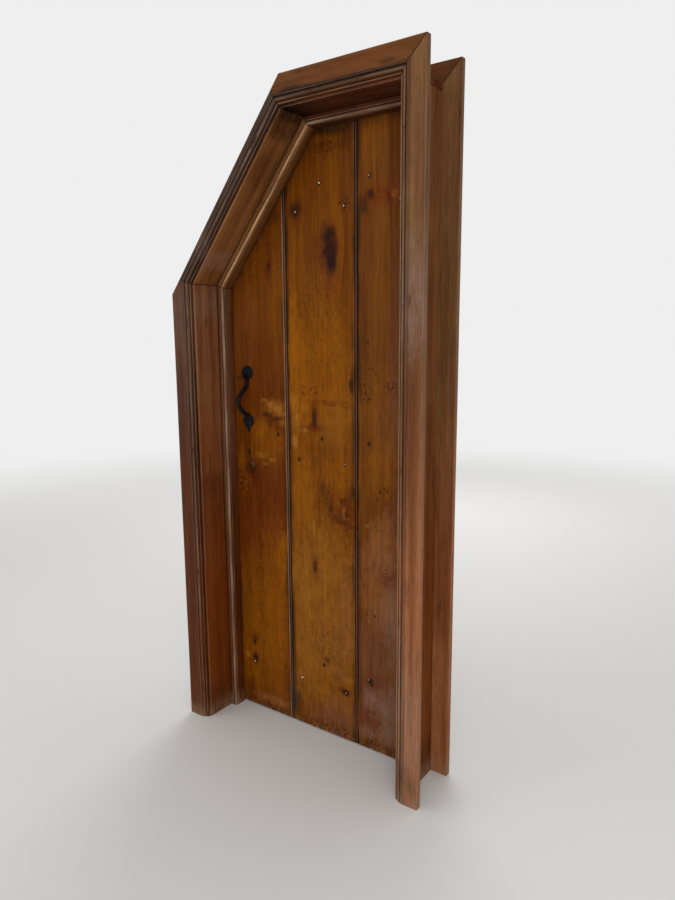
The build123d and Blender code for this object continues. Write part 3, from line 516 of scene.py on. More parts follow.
def board_finish(name, tones, knots, marks, clusters, nails, edges, pith):
    """Stained and waxed pine of one board, with its own knots, marks, nail stains and edges,
    and painted shadow under the head and the rake.
    """
    material, w, surface, place = new_material(name)
    grain = w.attribute("grain")
    for *spot, _, _ in knots:
        inputs = {"Grain": grain, "Place": place, **spot_sockets(spot)}
        grain = w.group("grain round a knot", inputs)["Grain"]
    ragged = ragged_noise(w, place, 1.7)
    pine = grown_pine(w, grain, board_ring_gap, pith)
    height = w.axis(place, "Z")
    across = w.axis(grain, "X")
    depth = w.axis(grain, "Y")
    bare = plain_wood(w, pine, place, tones)
    marked = speckled(w, place, ragged, painted_marks(w, place, ragged, bare, marks), clusters)
    colour = figured(w, pine, w.mix(w.step(depth, *face_marks_fade), bare, marked))

    dents = 0.0
    for *spot, darkness, ringed in knots:
        knot = oval(w, place, ragged, spot, 0.6)
        distance = knot["Distance"]
        half_height = spot[3]
        ring_count = 2 * pi * half_height / ring_gap_round_knots
        turns = w.plus(w.times(distance, ring_count), w.times(w.axis(ragged, "Y"), 3.0))
        bands = w.step(w.math("SINE", turns), -0.5, 0.9, 0.15, 1.0)
        halo = w.times(w.step(distance, 3.0, 0.8), bands)
        colour = w.lay(colour, halo, ringed, mark_colours["red"])
        colour = w.lay(colour, knot["Mask"], darkness, mark_colours["dark"])
        core = w.times(w.step(distance, 1.1, 0.3), darkness**2)
        colour = w.mix(core, colour, mark_colours["black"])
        dents = w.plus(dents, core)

    # Rust and polish build up round the nails, set a little lower so that they also paint the shadow
    # under each head
    for x, z in nails:
        spot = (x / mm, z / mm - nail_shadow_drop, *nail_stain_and_shadow_size)
        rust_and_shadow = oval(w, place, ragged, spot, 0.4)["Mask"]
        colour = w.lay(colour, rust_and_shadow, 0.9, mark_colours["black"])

    # Dirt and rubbing along the edges at the joints, with grime and painted shade in their gaps
    patches = w.step(w.noise(place, (30.0, 30.0, 7.0), detail=4.0), 0.36, 0.62)
    for edge_x, reach, amount in edges["dirt"]:
        distance = w.math("ABSOLUTE", w.minus(across, edge_x))
        beside = w.times(w.step(distance, reach, reach * 0.2), patches)
        colour = w.lay(colour, beside, amount, mark_colours["stain"])
    for edge_x, reach, amount, patchy, line_colour in edges["lines"]:
        inputs = {"Grain": grain, "Across": edge_x, "Reach": reach, "Patchy": patchy}
        colour = w.lay(colour, w.group("edge mark", inputs)["Mask"], amount, line_colour)
    colour = painted_marks(w, place, ragged, colour, edges["smears"], 0.8)

    # Painted shadow under the head and the raking stop; dirty and dusty at the foot
    to_rake = w.vector("DOT_PRODUCT", w.vector("SUBTRACT", knee, place), rake_outward)
    under = w.math("MINIMUM", to_rake, w.minus(leaf_top, height))
    shadow = w.times(w.step(under, *painted_shadow_under_head), w.step(patches, -0.6, 1.0))
    colour = w.lay(colour, shadow, 0.55, mark_colours["stain"])
    foot = w.times(w.step(height, *foot_dirt), w.step(patches, 0.3, 1.0))
    colour = w.lay(colour, foot, 0.5, mark_colours["stain"])
    specks = w.step(w.noise(place, (160.0, 160.0, 120.0), detail=2.0), 0.5, 0.68)
    colour = w.lay(colour, w.times(w.step(height, *foot_dust), specks), 0.55, dusty)

    # Grime and painted shade on the edges inside the joints, between the boards
    inside = w.times(w.step(depth, *joint_grime_and_shade_front), w.step(depth, *joint_grime_and_shade_back))
    colour = w.lay(colour, inside, 0.95, grime_and_shade)

    polish = w.noise(place, (22.0, 22.0, 4.0), detail=4.0)
    roughness = w.step(polish, 0.25, 0.75, 0.36, 0.6)
    relief = w.minus(grain_relief(w, pine), dents)
    shade(w, surface, colour, roughness, relief, board_relief, board_gloss)
    return material


def frame_finish(name, tones, worn, grimy_and_shaded, run_name, marks=(), joints=(), wear_and_highlight_colour=worn_and_highlight_taupe):
    """Stained pine of one piece of the frame, with painted sheen in its two tones, rubbed and
    laid with painted highlights on its arrises, grimy and laid with painted shade in its quirks and
    corners.

    A worn or grimy line is a place across, a depth, a reach and an amount.
    """
    material, w, surface, place = new_material(name)
    grain = w.attribute("grain")
    pine = grown_pine(w, grain, frame_ring_gap, pith_places[run_name])
    height = w.axis(place, "Z")
    drift = w.noise(place, (3.0, 3.0, 2.0), detail=2.0)
    level = w.plus(height, w.times(drift, 0.9))
    # Two tones, low and high on the frame, each with painted sheen, the bluish haze of a reflection,
    # in it
    low, high = (plain_wood(w, pine, place, stain(*tone)) for tone in tones)
    colour = w.mix(w.step(level, 0.8, 1.9), low, high)
    ragged = ragged_noise(w, place, 1.5)
    colour = painted_marks(w, place, ragged, colour, marks)
    colour = figured(w, pine, colour)
    flecks = w.noise(grain, (55.0, 55.0, 9.0), detail=4.0, roughness=0.7)
    colour = w.mix(w.step(flecks, 0.56, 0.76, 0.0, 0.6), colour, mark_colours["stain"])
    # Grime and painted shade along quirks and corners, then wear and painted highlights along
    # arrises and crowns
    for rows, patchy, over in ((grimy_and_shaded, 0.45, grime_and_shade), (worn, 0.7, wear_and_highlight_colour)):
        for across, depth, reach, amount in rows:
            inputs = {"Grain": grain, "Across": across, "Depth": depth, "Reach": reach}
            mask = w.group("edge mark", {**inputs, "Patchy": patchy})["Mask"]
            colour = w.lay(colour, mask, amount, over)
    for corner, square in joints:
        mask = w.group("joint line", {"Place": place, "Corner": corner, "Square to it": square})
        colour = w.lay(colour, mask["Mask"], 0.85, grime_and_shade)
    foot = w.times(w.step(height, 0.07, 0.0), w.step(flecks, 0.35, 0.6))
    colour = w.lay(colour, foot, 0.55, dusty)
    roughness = w.step(flecks, 0.3, 0.75, 0.38, 0.6)
    shade(w, surface, colour, roughness, grain_relief(w, pine), frame_relief, frame_gloss)
    return material


def run_joints(run):
    """The mitres at the two ends of a run: each with its corner and the way square to it."""
    ends = list(zip(corners[1:4], bisectors))
    return ends[max(run - 1, 0) : run + 1]


def ledge_finish():
    """Stained pine of the ledges, with its grain along X, from the solids' own coordinates."""
    material, w, surface, place = new_material("ledge pine")
    turn = {"Vector": place, "Rotation": (0.0, radians(90), 0.0)}
    turned = w.node("ShaderNodeMapping", turn).outputs[0]
    pine = grown_pine(w, turned, ledge_ring_gap, (0.0, 0.08))
    colour = figured(w, pine, plain_wood(w, pine, turned, stain(102, 58, 20)))
    flecks = w.noise(turned, (30.0, 30.0, 5.0), detail=4.0)
    colour = w.mix(w.step(flecks, 0.58, 0.75, 0.0, 0.6), colour, mark_colours["dark"])
    roughness = w.step(flecks, 0.3, 0.75, 0.4, 0.6)
    shade(w, surface, colour, roughness, grain_relief(w, pine), frame_relief, board_gloss)
    return material


def iron_finish(name, body, rubbed, roughness, dents=190.0, relief=0.35 * mm):
    """Blacked iron, dented by the hammer and browned where hands rub it."""
    material, w, surface, place = new_material(name)
    iron = w.group("forged iron", {"Place": place, "Dents in a metre": dents})
    colour = w.lay(body, iron["Rubbed"], 0.5, rubbed)
    rough = w.step(iron["Rubbed"], 0.0, 1.0, roughness + 0.08, roughness - 0.08)
    surface.inputs["Metallic"].default_value = 0.25
    shade(w, surface, colour, rough, iron["Dents"], relief, 0.16)
    return material


def nail_finish():
    """Brown nail heads, rubbed bright on their crowns, where the near-white colour is also a painted
    glint.
    """
    material, w, surface, place = new_material("nail iron")
    iron = w.group("forged iron", {"Place": place, "Dents in a metre": 420.0})
    # The crowns' near-white colour is a painted glint as well as rubbed iron
    rubbed = w.step(w.attribute("crown", "Fac"), 0.4, 0.7)
    colour = w.mix(rubbed, paint(40, 30, 24), paint(236, 230, 218))
    surface.inputs["Metallic"].default_value = 0.2
    shade(w, surface, colour, w.step(rubbed, 0.0, 1.0, 0.6, 0.5), iron["Dents"], 0.1 * mm, 0.2)
    return material


black_iron = iron_finish("black iron", paint(15, 17, 22), paint(40, 32, 28), 0.46)
nail_iron = nail_finish()
screw_steel = iron_finish(
    "screw steel", paint(36, 35, 36), paint(84, 78, 72), 0.42, dents=500.0, relief=0.05 * mm
)
ledge_pine = ledge_finish()


def arc(centre, radii, start, end, steps):
    """Points on an arc or a quarter of an oval, with its angles in degrees."""
    turns = [radians(start + (end - start) * step / steps) for step in range(steps + 1)]
    return [(centre[0] + radii[0] * cos(t), centre[1] + radii[1] * sin(t)) for t in turns]


def eased(points, steps=3):
    """An outline whose corners with a third number are rounded over that length."""
    outline = []
    for place, point in enumerate(points):
        corner = Vector(point[:2])
        if len(point) == 2:
            outline.append(corner)
            continue
        before = Vector(points[place - 1][:2])
        after = Vector(points[(place + 1) % len(points)][:2])
        start = corner + (before - corner).normalized() * point[2]
        end = corner + (after - corner).normalized() * point[2]
        for step in range(steps + 1):
            t = step / steps
            outline.append(start * (1 - t) ** 2 + corner * 2 * t * (1 - t) + end * t**2)
    return outline


def spaced(outline):
    """An outline with more points along its long straight stretches."""
    points = []
    for place, start in enumerate(outline):
        end = outline[(place + 1) % len(outline)]
        pieces = max(1, ceil((end - start).length / point_spacing))
        points += [start.lerp(end, piece / pieces) for piece in range(pieces)]
    return points


def half_chord(radius, depth):
    """Half the width of a round bar at a depth below its crown."""
    return (radius**2 - (radius - depth) ** 2) ** 0.5


def front_architrave_outline():
    """Edge bead, fillet and ovolo, a quirk and the flat band."""
    bead_centre = (bead_edge + edge_bead_radius, moulding_level)
    return [
        *arc(bead_centre, (edge_bead_radius,) * 2, 180, 360, 10),
        *arc((ovolo_end, moulding_level), (ovolo_width, ovolo_drop), 180, 270, 12),
        (ovolo_end, band_quirk_depth),
        (ovolo_end + band_quirk_width, 0, crisp_arris),
        (band_edge, 0, soft_arris),
        (band_edge, lining_front),
        (bead_edge, lining_front),
    ]


def lining_outline():
    """A board on edge."""
    return [
        (0, lining_front, soft_arris),
        (lining_thickness, lining_front),
        (lining_thickness, lining_back),
        (0, lining_back, soft_arris),
    ]


# Staff bead: the middle of its round, and the places of its two quirks
staff_bead_across = staff_bead_radius - stop_width
staff_bead_depth = stop_front + staff_bead_radius
staff_bead_half = half_chord(staff_bead_radius, staff_quirk_depth)
front_quirk = staff_bead_across + staff_bead_half
side_quirk = staff_bead_depth + staff_bead_half


def stop_outline():
    """A staff bead on the free corner, between two quirks."""
    centre = (staff_bead_across, staff_bead_depth)
    start = degrees(atan2(staff_quirk_depth - staff_bead_radius, staff_bead_half))
    return [
        *arc(centre, (staff_bead_radius,) * 2, start, -270 - start, 18),
        (-stop_width + staff_quirk_depth, side_quirk + staff_quirk_width),
        (-stop_width, side_quirk + staff_quirk_width, crisp_arris),
        (-stop_width, stop_back, crisp_arris),
        (0, stop_back),
        (0, stop_front),
        (front_quirk + staff_quirk_width, stop_front, crisp_arris),
        (front_quirk + staff_quirk_width, stop_front + staff_quirk_depth),
    ]


def back_architrave_outline():
    """A plain board with the arrises of its far face eased."""
    return [
        (back_inner, back_front),
        (band_edge, back_front),
        (band_edge, back_back, soft_arris),
        (back_inner, back_back, soft_arris),
    ]


def board_outline(left, right, grooved, tongued):
    """A board seen from above: its face is at depth 0, and X is across."""
    outline = [(left, 0, crisp_arris)]
    if tongued:
        half = half_chord(board_bead_radius, board_quirk_depth)
        centre = (right - board_bead_radius, board_bead_radius)
        start = 180 + degrees(atan2(board_bead_radius - board_quirk_depth, half))
        tongue_front = (board_thickness - tongue_thickness) / 2
        tongue_back = tongue_front + tongue_thickness
        outline += [
            (centre[0] - half - board_quirk_width, 0, crisp_arris),
            (centre[0] - half - board_quirk_width, board_quirk_depth),
            *arc(centre, (board_bead_radius,) * 2, start, 360, 12),
            (right, tongue_front),
            (right + tongue_length, tongue_front),
            (right + tongue_length, tongue_back),
            (right, tongue_back),
        ]
    else:
        outline.append((right, 0, crisp_arris))
    outline += [(right, board_thickness, crisp_arris), (left, board_thickness, crisp_arris)]
    if grooved:
        groove_front = (board_thickness - groove_width) / 2
        outline += [
            (left, groove_front + groove_width),
            (left + groove_depth, groove_front + groove_width),
            (left + groove_depth, groove_front),
            (left, groove_front),
        ]
    return outline


def kept_on_points(w, geometry, name, value, kind):
    """The geometry with a value kept on its points, where its finish reads it."""
    inputs = {"Geometry": geometry, "Name": name, "Value": value}
    settings = {"data_type": kind, "domain": "POINT"}
    return w.node("GeometryNodeStoreNamedAttribute", inputs, **settings).outputs[0]


def end_tree(w, socket, geometry, finish):
    """End a tree: copies made real, and every face in its finish."""
    real = w.node("GeometryNodeRealizeInstances", {"Geometry": geometry}).outputs[0]
    inputs = {"Geometry": real, "Material": finish}
    w.feed(socket, w.node("GeometryNodeSetMaterial", inputs).outputs[0])
    return w.tree


def run_tree():
    """A geometry tree that runs a section along Z and lets its faces wander a little."""
    inputs = [
        ("Section", "Geometry"),
        ("Length", "Float", 1.0),
        ("Ring spacing", "Float", ring_spacing),
        ("Waviness", "Float", frame_waviness),
        ("Log", "Float", 0.0),
        ("Finish", "Material"),
    ]
    outputs = [("Piece", "Geometry")]
    w, given, out = new_group("run of moulding", inputs, outputs, "GeometryNodeTree")
    end = w.joined(z=given["Length"])
    line = w.node("GeometryNodeCurvePrimitiveLine", {"End": end}).outputs[0]
    spacing = {"Curve": line, "Length": given["Ring spacing"]}
    rings = w.node("GeometryNodeResampleCurve", spacing, mode="LENGTH").outputs[0]
    section = w.node("GeometryNodeMeshToCurve", {"Mesh": given["Section"]}).outputs[0]
    sweep = {"Curve": rings, "Profile Curve": section}
    body = w.node("GeometryNodeCurveToMesh", sweep).outputs[0]
    place = w.node("GeometryNodeInputPosition").outputs[0]
    log_place = w.vector("ADD", place, w.joined(z=given["Log"]))
    grained = kept_on_points(w, body, "grain", log_place, "FLOAT_VECTOR")
    sway = w.step(w.noise(log_place, (9.0, 9.0, 3.0), detail=2.0), 0.3, 0.7)
    outwards = w.node("GeometryNodeInputNormal").outputs[0]
    inwards = w.scaled(outwards, w.times(w.times(sway, given["Waviness"]), -1.0))
    moved = w.node("GeometryNodeSetPosition", {"Geometry": grained, "Offset": inwards})
    return end_tree(w, out["Piece"], moved.outputs[0], given["Finish"])


def nail_head_tree():
    """A geometry tree that sets a hammered dome on every point, facing -Y."""
    inputs = [
        ("Places", "Geometry"),
        ("Radius", "Float", nail_dome_radius),
        ("Height", "Float", nail_dome_height),
        ("Seed", "Int", 7),
        ("Finish", "Material"),
    ]
    w, given, out = new_group("nail heads", inputs, [("Heads", "Geometry")], "GeometryNodeTree")
    rings = {"Segments": 14, "Rings": 8, "Radius": 1.0}
    ball = w.node("GeometryNodeMeshUVSphere", rings).outputs["Mesh"]
    size = w.joined(given["Radius"], given["Radius"], given["Height"])
    crown = w.axis(w.node("GeometryNodeInputPosition").outputs[0], "Z")
    marked = kept_on_points(w, ball, "crown", crown, "FLOAT")
    dome = w.node("GeometryNodeTransform", {"Geometry": marked, "Scale": size}).outputs[0]
    spin, grown_by = (
        w.node(
            "FunctionNodeRandomValue",
            {**limits, "Seed": given["Seed"]},
            data_type="FLOAT_VECTOR",
        ).outputs["Value"]
        for limits in (nail_turns, nail_sizes)
    )
    copies = {"Points": given["Places"], "Instance": dome, "Rotation": spin, "Scale": grown_by}
    heads = w.node("GeometryNodeInstanceOnPoints", copies).outputs[0]
    return end_tree(w, out["Heads"], heads, given["Finish"])


def link(name, mesh):
    """An object of the scene with this mesh."""
    made = bpy.data.objects.new(name, mesh)
    bpy.context.scene.collection.objects.link(made)
    return made


def settled(made):
    """Turn an object's modifiers into its own plain mesh."""
    bpy.context.view_layer.update()
    evaluated = made.evaluated_get(bpy.context.evaluated_depsgraph_get())
    mesh = bpy.data.meshes.new_from_object(evaluated)
    made.modifiers.clear()
    made.data = mesh
    return made


def grown(name, mesh, tree, sizes):
    """The piece that a geometry tree makes from a starting mesh."""
    made = link(name, mesh)
    modifier = made.modifiers.new(tree.name, "NODES")
    modifier.node_group = tree
    sockets = [item for item in tree.interface.items_tree if item.item_type == "SOCKET"]
    identifiers = {item.name: item.identifier for item in sockets if item.in_out == "INPUT"}
    for label, value in sizes.items():
        modifier[identifiers[label]] = value
    return settled(made)


def shape_of(mesh):
    """A mesh opened for editing."""
    shape = bmesh.new()
    shape.from_mesh(mesh)
    return shape


def joined_shape(name):
    """A CAD node's mesh opened for editing, with its loose triangles joined."""
    shape = shape_of(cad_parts[name].data)
    bmesh.ops.remove_doubles(shape, verts=shape.verts, dist=merge_distance)
    return shape


def closed(shape, mesh):
    """Write an edited shape into a mesh and let go of it."""
    shape.to_mesh(mesh)
    shape.free()
    return mesh


def cut_away(shape, origin, outward):
    """Cut a closed mesh by a plane, drop what lies outward of it and close the cut."""
    everything = [*shape.verts, *shape.edges, *shape.faces]
    cut = bmesh.ops.bisect_plane(
        shape,
        geom=everything,
        dist=cut_tolerance,
        plane_co=origin,
        plane_no=outward,
        clear_outer=True,
    )
    edges = [item for item in cut["geom_cut"] if isinstance(item, bmesh.types.BMEdge)]
    if edges:
        bmesh.ops.edgeloop_fill(shape, edges=edges)


def smooth(made, angle=32.0):
    """Shade round stretches smooth and keep true edges sharp."""
    made.data.shade_smooth()
    made.data.set_sharp_from_angle(angle=radians(angle))


def run_piece(name, outline, length, place, cuts, waviness, log, finish):
    """Run a section, set it in its place, cut its ends and close it."""
    points = spaced(eased(outline))
    mesh = bpy.data.meshes.new(name)
    loop = [(spot, (spot + 1) % len(points)) for spot in range(len(points))]
    mesh.from_pydata([(*point, 0.0) for point in points], loop, [])
    sizes = {"Length": length, "Waviness": waviness, "Log": log, "Finish": finish}
    made = grown(name, mesh, run_of_moulding, sizes)
    made.data.transform(place)
    shape = shape_of(made.data)
    for origin, outward in cuts:
        cut_away(shape, origin, outward)
    bmesh.ops.recalc_face_normals(shape, faces=shape.faces)
    closed(shape, made.data)
    smooth(made)
    return made


def frame_run(name, run, outline, waviness, finish, end_cuts=None):
    """One piece of the frame along a run, mitred to its neighbours and trimmed along the rake."""
    start, end = corners[run], corners[run + 1]
    along = directions[run]
    outward = Vector((-along.z, 0, along.x))
    place = Matrix((outward, Vector((0, 1, 0)), -along)).transposed().to_4x4()
    place.translation = end + along * overrun + Vector((0, front_y, 0))
    normals = [directions[0], *bisectors, directions[-1]]
    start_gap = mitre_gap / 2 if run > 0 else 0.0
    end_gap = mitre_gap / 2 if run < 3 else 0.0
    cuts = end_cuts or [
        (start + normals[run] * start_gap, -normals[run]),
        (end - normals[run + 1] * end_gap, normals[run + 1]),
    ]
    cuts = [*cuts, (knee + rake_outward * trim_offset, rake_outward)]
    length = (end - start).length + 2 * overrun
    # Where the piece lies in the pattern of the grain, so that neighbours differ
    log = 11.0 * run + 3.0 * len(name)
    return run_piece(name, outline, length, place, cuts, waviness, log, finish)


def drill(made, cutters):
    """Cut the given closed meshes out of a piece."""
    cutter = link("cutter", cutters)
    modifier = made.modifiers.new("drill", "BOOLEAN")
    modifier.object = cutter
    modifier.solver = "EXACT"
    modifier.operation = "DIFFERENCE"
    settled(made)
    bpy.data.objects.remove(cutter)
    smooth(made)


def island_points(name, depth=0.5 * mm):
    """The middle of the front end of each separate solid in a CAD node."""
    shape = joined_shape(name)
    unseen = set(shape.verts)
    points = []
    while unseen:
        island = [unseen.pop()]
        for vertex in island:
            for edge in vertex.link_edges:
                other = edge.other_vert(vertex)
                if other in unseen:
                    unseen.remove(other)
                    island.append(other)
        front = min(vertex.co.y for vertex in island)
        tip = [vertex.co for vertex in island if vertex.co.y < front + depth]
        middle = [(min(c[axis] for c in tip) + max(c[axis] for c in tip)) / 2 for axis in (0, 2)]
        points.append(Vector((middle[0], front, middle[1])))
    shape.free()
    return sorted(points, key=lambda point: (point.z, point.x))


def nail_holes(places, radius, depth):
    """Cylinders along Y that start in front of the face and reach a depth behind it."""
    shape = bmesh.new()
    turn = Matrix.Rotation(radians(90), 4, "X")
    middle = front_y + depth / 2 - nail_hole_start / 2
    for point in places:
        bmesh.ops.create_cone(
            shape,
            cap_ends=True,
            segments=20,
            radius1=radius,
            radius2=radius,
            depth=depth + nail_hole_start,
            matrix=Matrix.Translation((point.x, middle, point.z)) @ turn,
        )
    return closed(shape, bpy.data.meshes.new("nail holes"))


def block(name, middle, size):
    """A block, for an opening that is cut square."""
    shape = bmesh.new()
    bmesh.ops.create_cube(shape, size=1.0, matrix=Matrix.LocRotScale(middle, None, size))
    return closed(shape, bpy.data.meshes.new(name))


def dressed_copy(name, body, finish, edge):
    """A copy of a CAD node with its flats made whole and its edges eased."""
    shape = joined_shape(name)
    bmesh.ops.dissolve_limit(
        shape, angle_limit=radians(0.4), verts=shape.verts, edges=shape.edges
    )
    made = link(f"dressed_{name}", closed(shape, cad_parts[name].data.copy()))
    made.data.materials.clear()
    made.data.materials.append(finish)
    bevel = made.modifiers.new("eased edges", "BEVEL")
    bevel.width = edge
    bevel.segments = 2
    bevel.limit_method = "ANGLE"
    bevel.angle_limit = radians(35)
    settled(made)
    smooth(made)
    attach(made, body)
    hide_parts(name)


run_of_moulding = run_tree()
heads_on_nails = nail_head_tree()
ledge_names = ["upper", "middle", "lower"]
clenched_nails = [
    point for ledge in ledge_names for point in island_points(f"clenched_nails_{ledge}")
]

# Stains of the frame as a screen shows them, with painted sheen, the bluish haze of a reflection,
# laid in: low on the frame, then high on it
front_stains_and_sheen = {
    "left": ((86, 42, 12), (84, 54, 38)),
    "raking": ((64, 46, 36), (62, 44, 34)),
    "head": ((97, 58, 26), (97, 58, 26)),
    "right": ((142, 90, 56), (110, 76, 46)),
}
lining_stains_and_sheen = {
    "left": ((106, 52, 14), (124, 80, 50)),
    "raking": ((108, 70, 34), (122, 78, 42)),
    "head": ((84, 43, 23), (84, 43, 23)),
    "right": ((104, 54, 20), (112, 70, 40)),
}
stop_stains_and_sheen = {
    "left": ((94, 46, 16), (98, 62, 40)),
    "raking": ((100, 62, 34), (104, 66, 34)),
    "head": ((84, 44, 22), (84, 44, 22)),
    "right": ((104, 56, 26), (108, 68, 40)),
}
pith_places = {
    "left": (0.02, 0.09),
    "raking": (-0.03, 0.12),
    "head": (0.05, 0.10),
    "right": (0.0, 0.13),
}

# Marks of the frame: colour, X, Z, half width, half height in millimetres, how strong
front_marks = {
    "left": [
        ("red", -432, 860, 30, 120, 0.35),
        ("dark", -440, 1130, 8, 180, 0.35),
        ("stain", -412, 1430, 9, 110, 0.9),
        ("stain", -400, 1020, 16, 260, 0.85),
        ("taupe", -425, 1420, 40, 120, 0.12),
        ("dark", -397, 940, 3, 3, 0.9),
    ],
    "raking": [("dark", -250, 1760, 60, 90, 0.3), ("taupe", -330, 1640, 30, 40, 0.3)],
    # Along the head's quirk, black and stain marks widen its grime and painted shade
    "head": [
        ("dark", 40, 2040, 60, 14, 0.4),
        ("black", 40, 2019, 60, 10, 1.0),
        ("black", 130, 2018, 50, 7, 1.0),
        ("stain", 250, 2018, 90, 6, 0.9),
        ("red", 180, 2045, 90, 18, 0.25),
        ("dark", 355, 2032, 24, 7, 0.6),
        ("dark", 75, 2064, 16, 5, 0.6),
        ("ember", 300, 2050, 70, 14, 0.3),
    ],
    # On the right leg the taupe marks are painted sheen, and the thin one low on the inner arris is
    # a painted highlight
    "right": [
        ("taupe", 436, 1450, 50, 140, 0.6),
        ("dark", 427, 1445, 3, 17, 0.9),
        ("dark", 401, 1458, 3, 3, 0.95),
        ("dark", 409, 1392, 2.5, 2.5, 0.9),
        ("ember", 440, 1130, 50, 220, 0.15),
        ("dark", 412, 1900, 5, 120, 0.5),
        ("taupe", 404, 390, 5, 180, 0.9),
        ("taupe", 430, 210, 50, 230, 0.5),
        ("stain", 420, 70, 40, 60, 0.4),
    ],
}
lining_marks = {
    "left": [
        ("taupe", -398, 1460, 20, 60, 0.35),
        ("dark", -398, 830, 20, 60, 0.35),
        ("red", -398, 760, 30, 120, 0.35),
        ("ember", -398, 560, 30, 200, 0.35),
        ("stain", -398, 60, 30, 60, 0.4),
    ],
    "raking": [
        ("taupe", -330, 1600, 40, 30, 0.45),
        ("dark", -130, 1850, 50, 50, 0.35),
        ("black", -10, 1986, 24, 24, 1.0),
        ("stain", -40, 1950, 30, 30, 0.7),
    ],
    "head": [
        ("black", 10, 1990, 44, 20, 1.0),
        ("black", -6, 1988, 20, 20, 0.9),
        ("stain", 60, 1990, 50, 20, 0.6),
        ("stain", 230, 1990, 60, 20, 0.3),
    ],
    "right": [("stain", 398, 60, 30, 60, 0.4)],
}


def front_architraves():
    """Four moulded architraves, with the nails' holes in the ovolo."""
    band_start = ovolo_end + band_quirk_width
    bead_end = bead_edge + 2 * edge_bead_radius
    # Rubbed arrises, with painted highlights on the bead's crown and the middle of the ovolo
    worn = [
        (band_start, 0.0, 2.6 * mm, 0.35),
        (band_edge, 0.0, 3.0 * mm, 0.5),
        (bead_edge + edge_bead_radius, moulding_level - edge_bead_radius, 2.6 * mm, 0.6),
        (ovolo_end - 0.55 * ovolo_width, moulding_level - 0.8 * ovolo_drop, 4.5 * mm, 0.45),
    ]
    # Grime and painted shade in the quirk, widest under the head's band, and more across the head's
    # ovolo, which faces down
    quirk_grime_and_shade = {"left": 6.0 * mm, "raking": 5.5 * mm, "head": 9.5 * mm, "right": 5.0 * mm}
    quirk_middle = ovolo_end + band_quirk_width / 2
    ovolo_middle = ovolo_end - ovolo_width / 2
    extra_grime_and_shade = {
        "left": [(quirk_middle, 0.0, 3.5 * mm, 0.7)],
        "raking": [(quirk_middle, 0.0, 4.0 * mm, 0.8)],
        "head": [
            (band_start, 0.0, 5.5 * mm, 0.95),
            (ovolo_end - 1.5 * mm, ovolo_set_down, 6.0 * mm, 0.85),
            (ovolo_middle, ovolo_set_down + 0.4 * ovolo_drop, 10.0 * mm, 0.5),
        ],
        "right": [
            (band_start, 0.0, 5.0 * mm, 0.8),
            (band_start + 8.0 * mm, 0.0, 5.0 * mm, 0.5),
        ],
    }
    places = island_points("architrave_nails")
    hole_depth = lining_front - 4 * mm
    for run, name in enumerate(run_names):
        grimy_and_shaded = [
            (ovolo_end, band_quirk_depth, quirk_grime_and_shade[name], 0.97),
            *extra_grime_and_shade[name],
            (bead_end + moulding_fillet / 2, moulding_level, 3.0 * mm, 0.9),
            (bead_edge, lining_front, 5.0 * mm, 0.9),
        ]
        finish = frame_finish(
            f"{name} architrave pine",
            front_stains_and_sheen[name],
            worn,
            grimy_and_shaded,
            name,
            front_marks[name],
            run_joints(run),
        )
        outline = front_architrave_outline()
        made = frame_run(f"moulding_{name}", run, outline, frame_waviness, finish)
        drill(made, nail_holes(places, nail_hole_radius, hole_depth))
        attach(made, "frame")
        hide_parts(f"front_architrave_{name}")


def housing_block(head_corner, past_jamb):
    """The block that the right jamb's top takes out of the head."""
    clear = 5 * mm
    depth = lining_back - lining_front
    size = Vector((lining_thickness + clear, depth + 2 * clear, housing_depth + clear))
    middle = Vector((
        (head_corner.x + past_jamb.x + clear) / 2,
        front_y + (lining_front + lining_back) / 2,
        head_corner.z + (housing_depth - clear) / 2,
    ))
    return block("housing", middle, size)


def linings():
    """Four lining boards. The right jamb is housed into the head."""
    # Rubbed arrises that also carry painted highlights, and grime and painted shade in the corner at
    # the stop
    worn = [(0.0, lining_front, 2.6 * mm, 0.5), (0.0, lining_back, 2.0 * mm, 0.5)]
    grimy_and_shaded = [(0.0, stop_front, 5.0 * mm, 0.85)]
    head_corner = corners[3]
    housing = head_corner - directions[3] * housing_depth
    past_jamb = head_corner + directions[2] * lining_thickness
    mitred = hip + bisectors[1] * mitre_gap / 2
    end_cuts = {
        "right": [(housing, -directions[3]), (corners[4], directions[3])],
        "head": [(mitred, -bisectors[1]), (past_jamb, directions[2])],
    }
    for run, name in enumerate(run_names):
        finish = frame_finish(
            f"{name} lining pine",
            lining_stains_and_sheen[name],
            worn,
            grimy_and_shaded,
            name,
            lining_marks[name],
            [end for end in run_joints(run) if end[0] != head_corner],
        )
        cuts = end_cuts.get(name)
        made = frame_run(f"reveal_{name}", run, lining_outline(), frame_waviness, finish, cuts)
        if name == "head":
            drill(made, housing_block(head_corner, past_jamb))
        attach(made, "frame")
        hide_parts(f"lining_{name}")


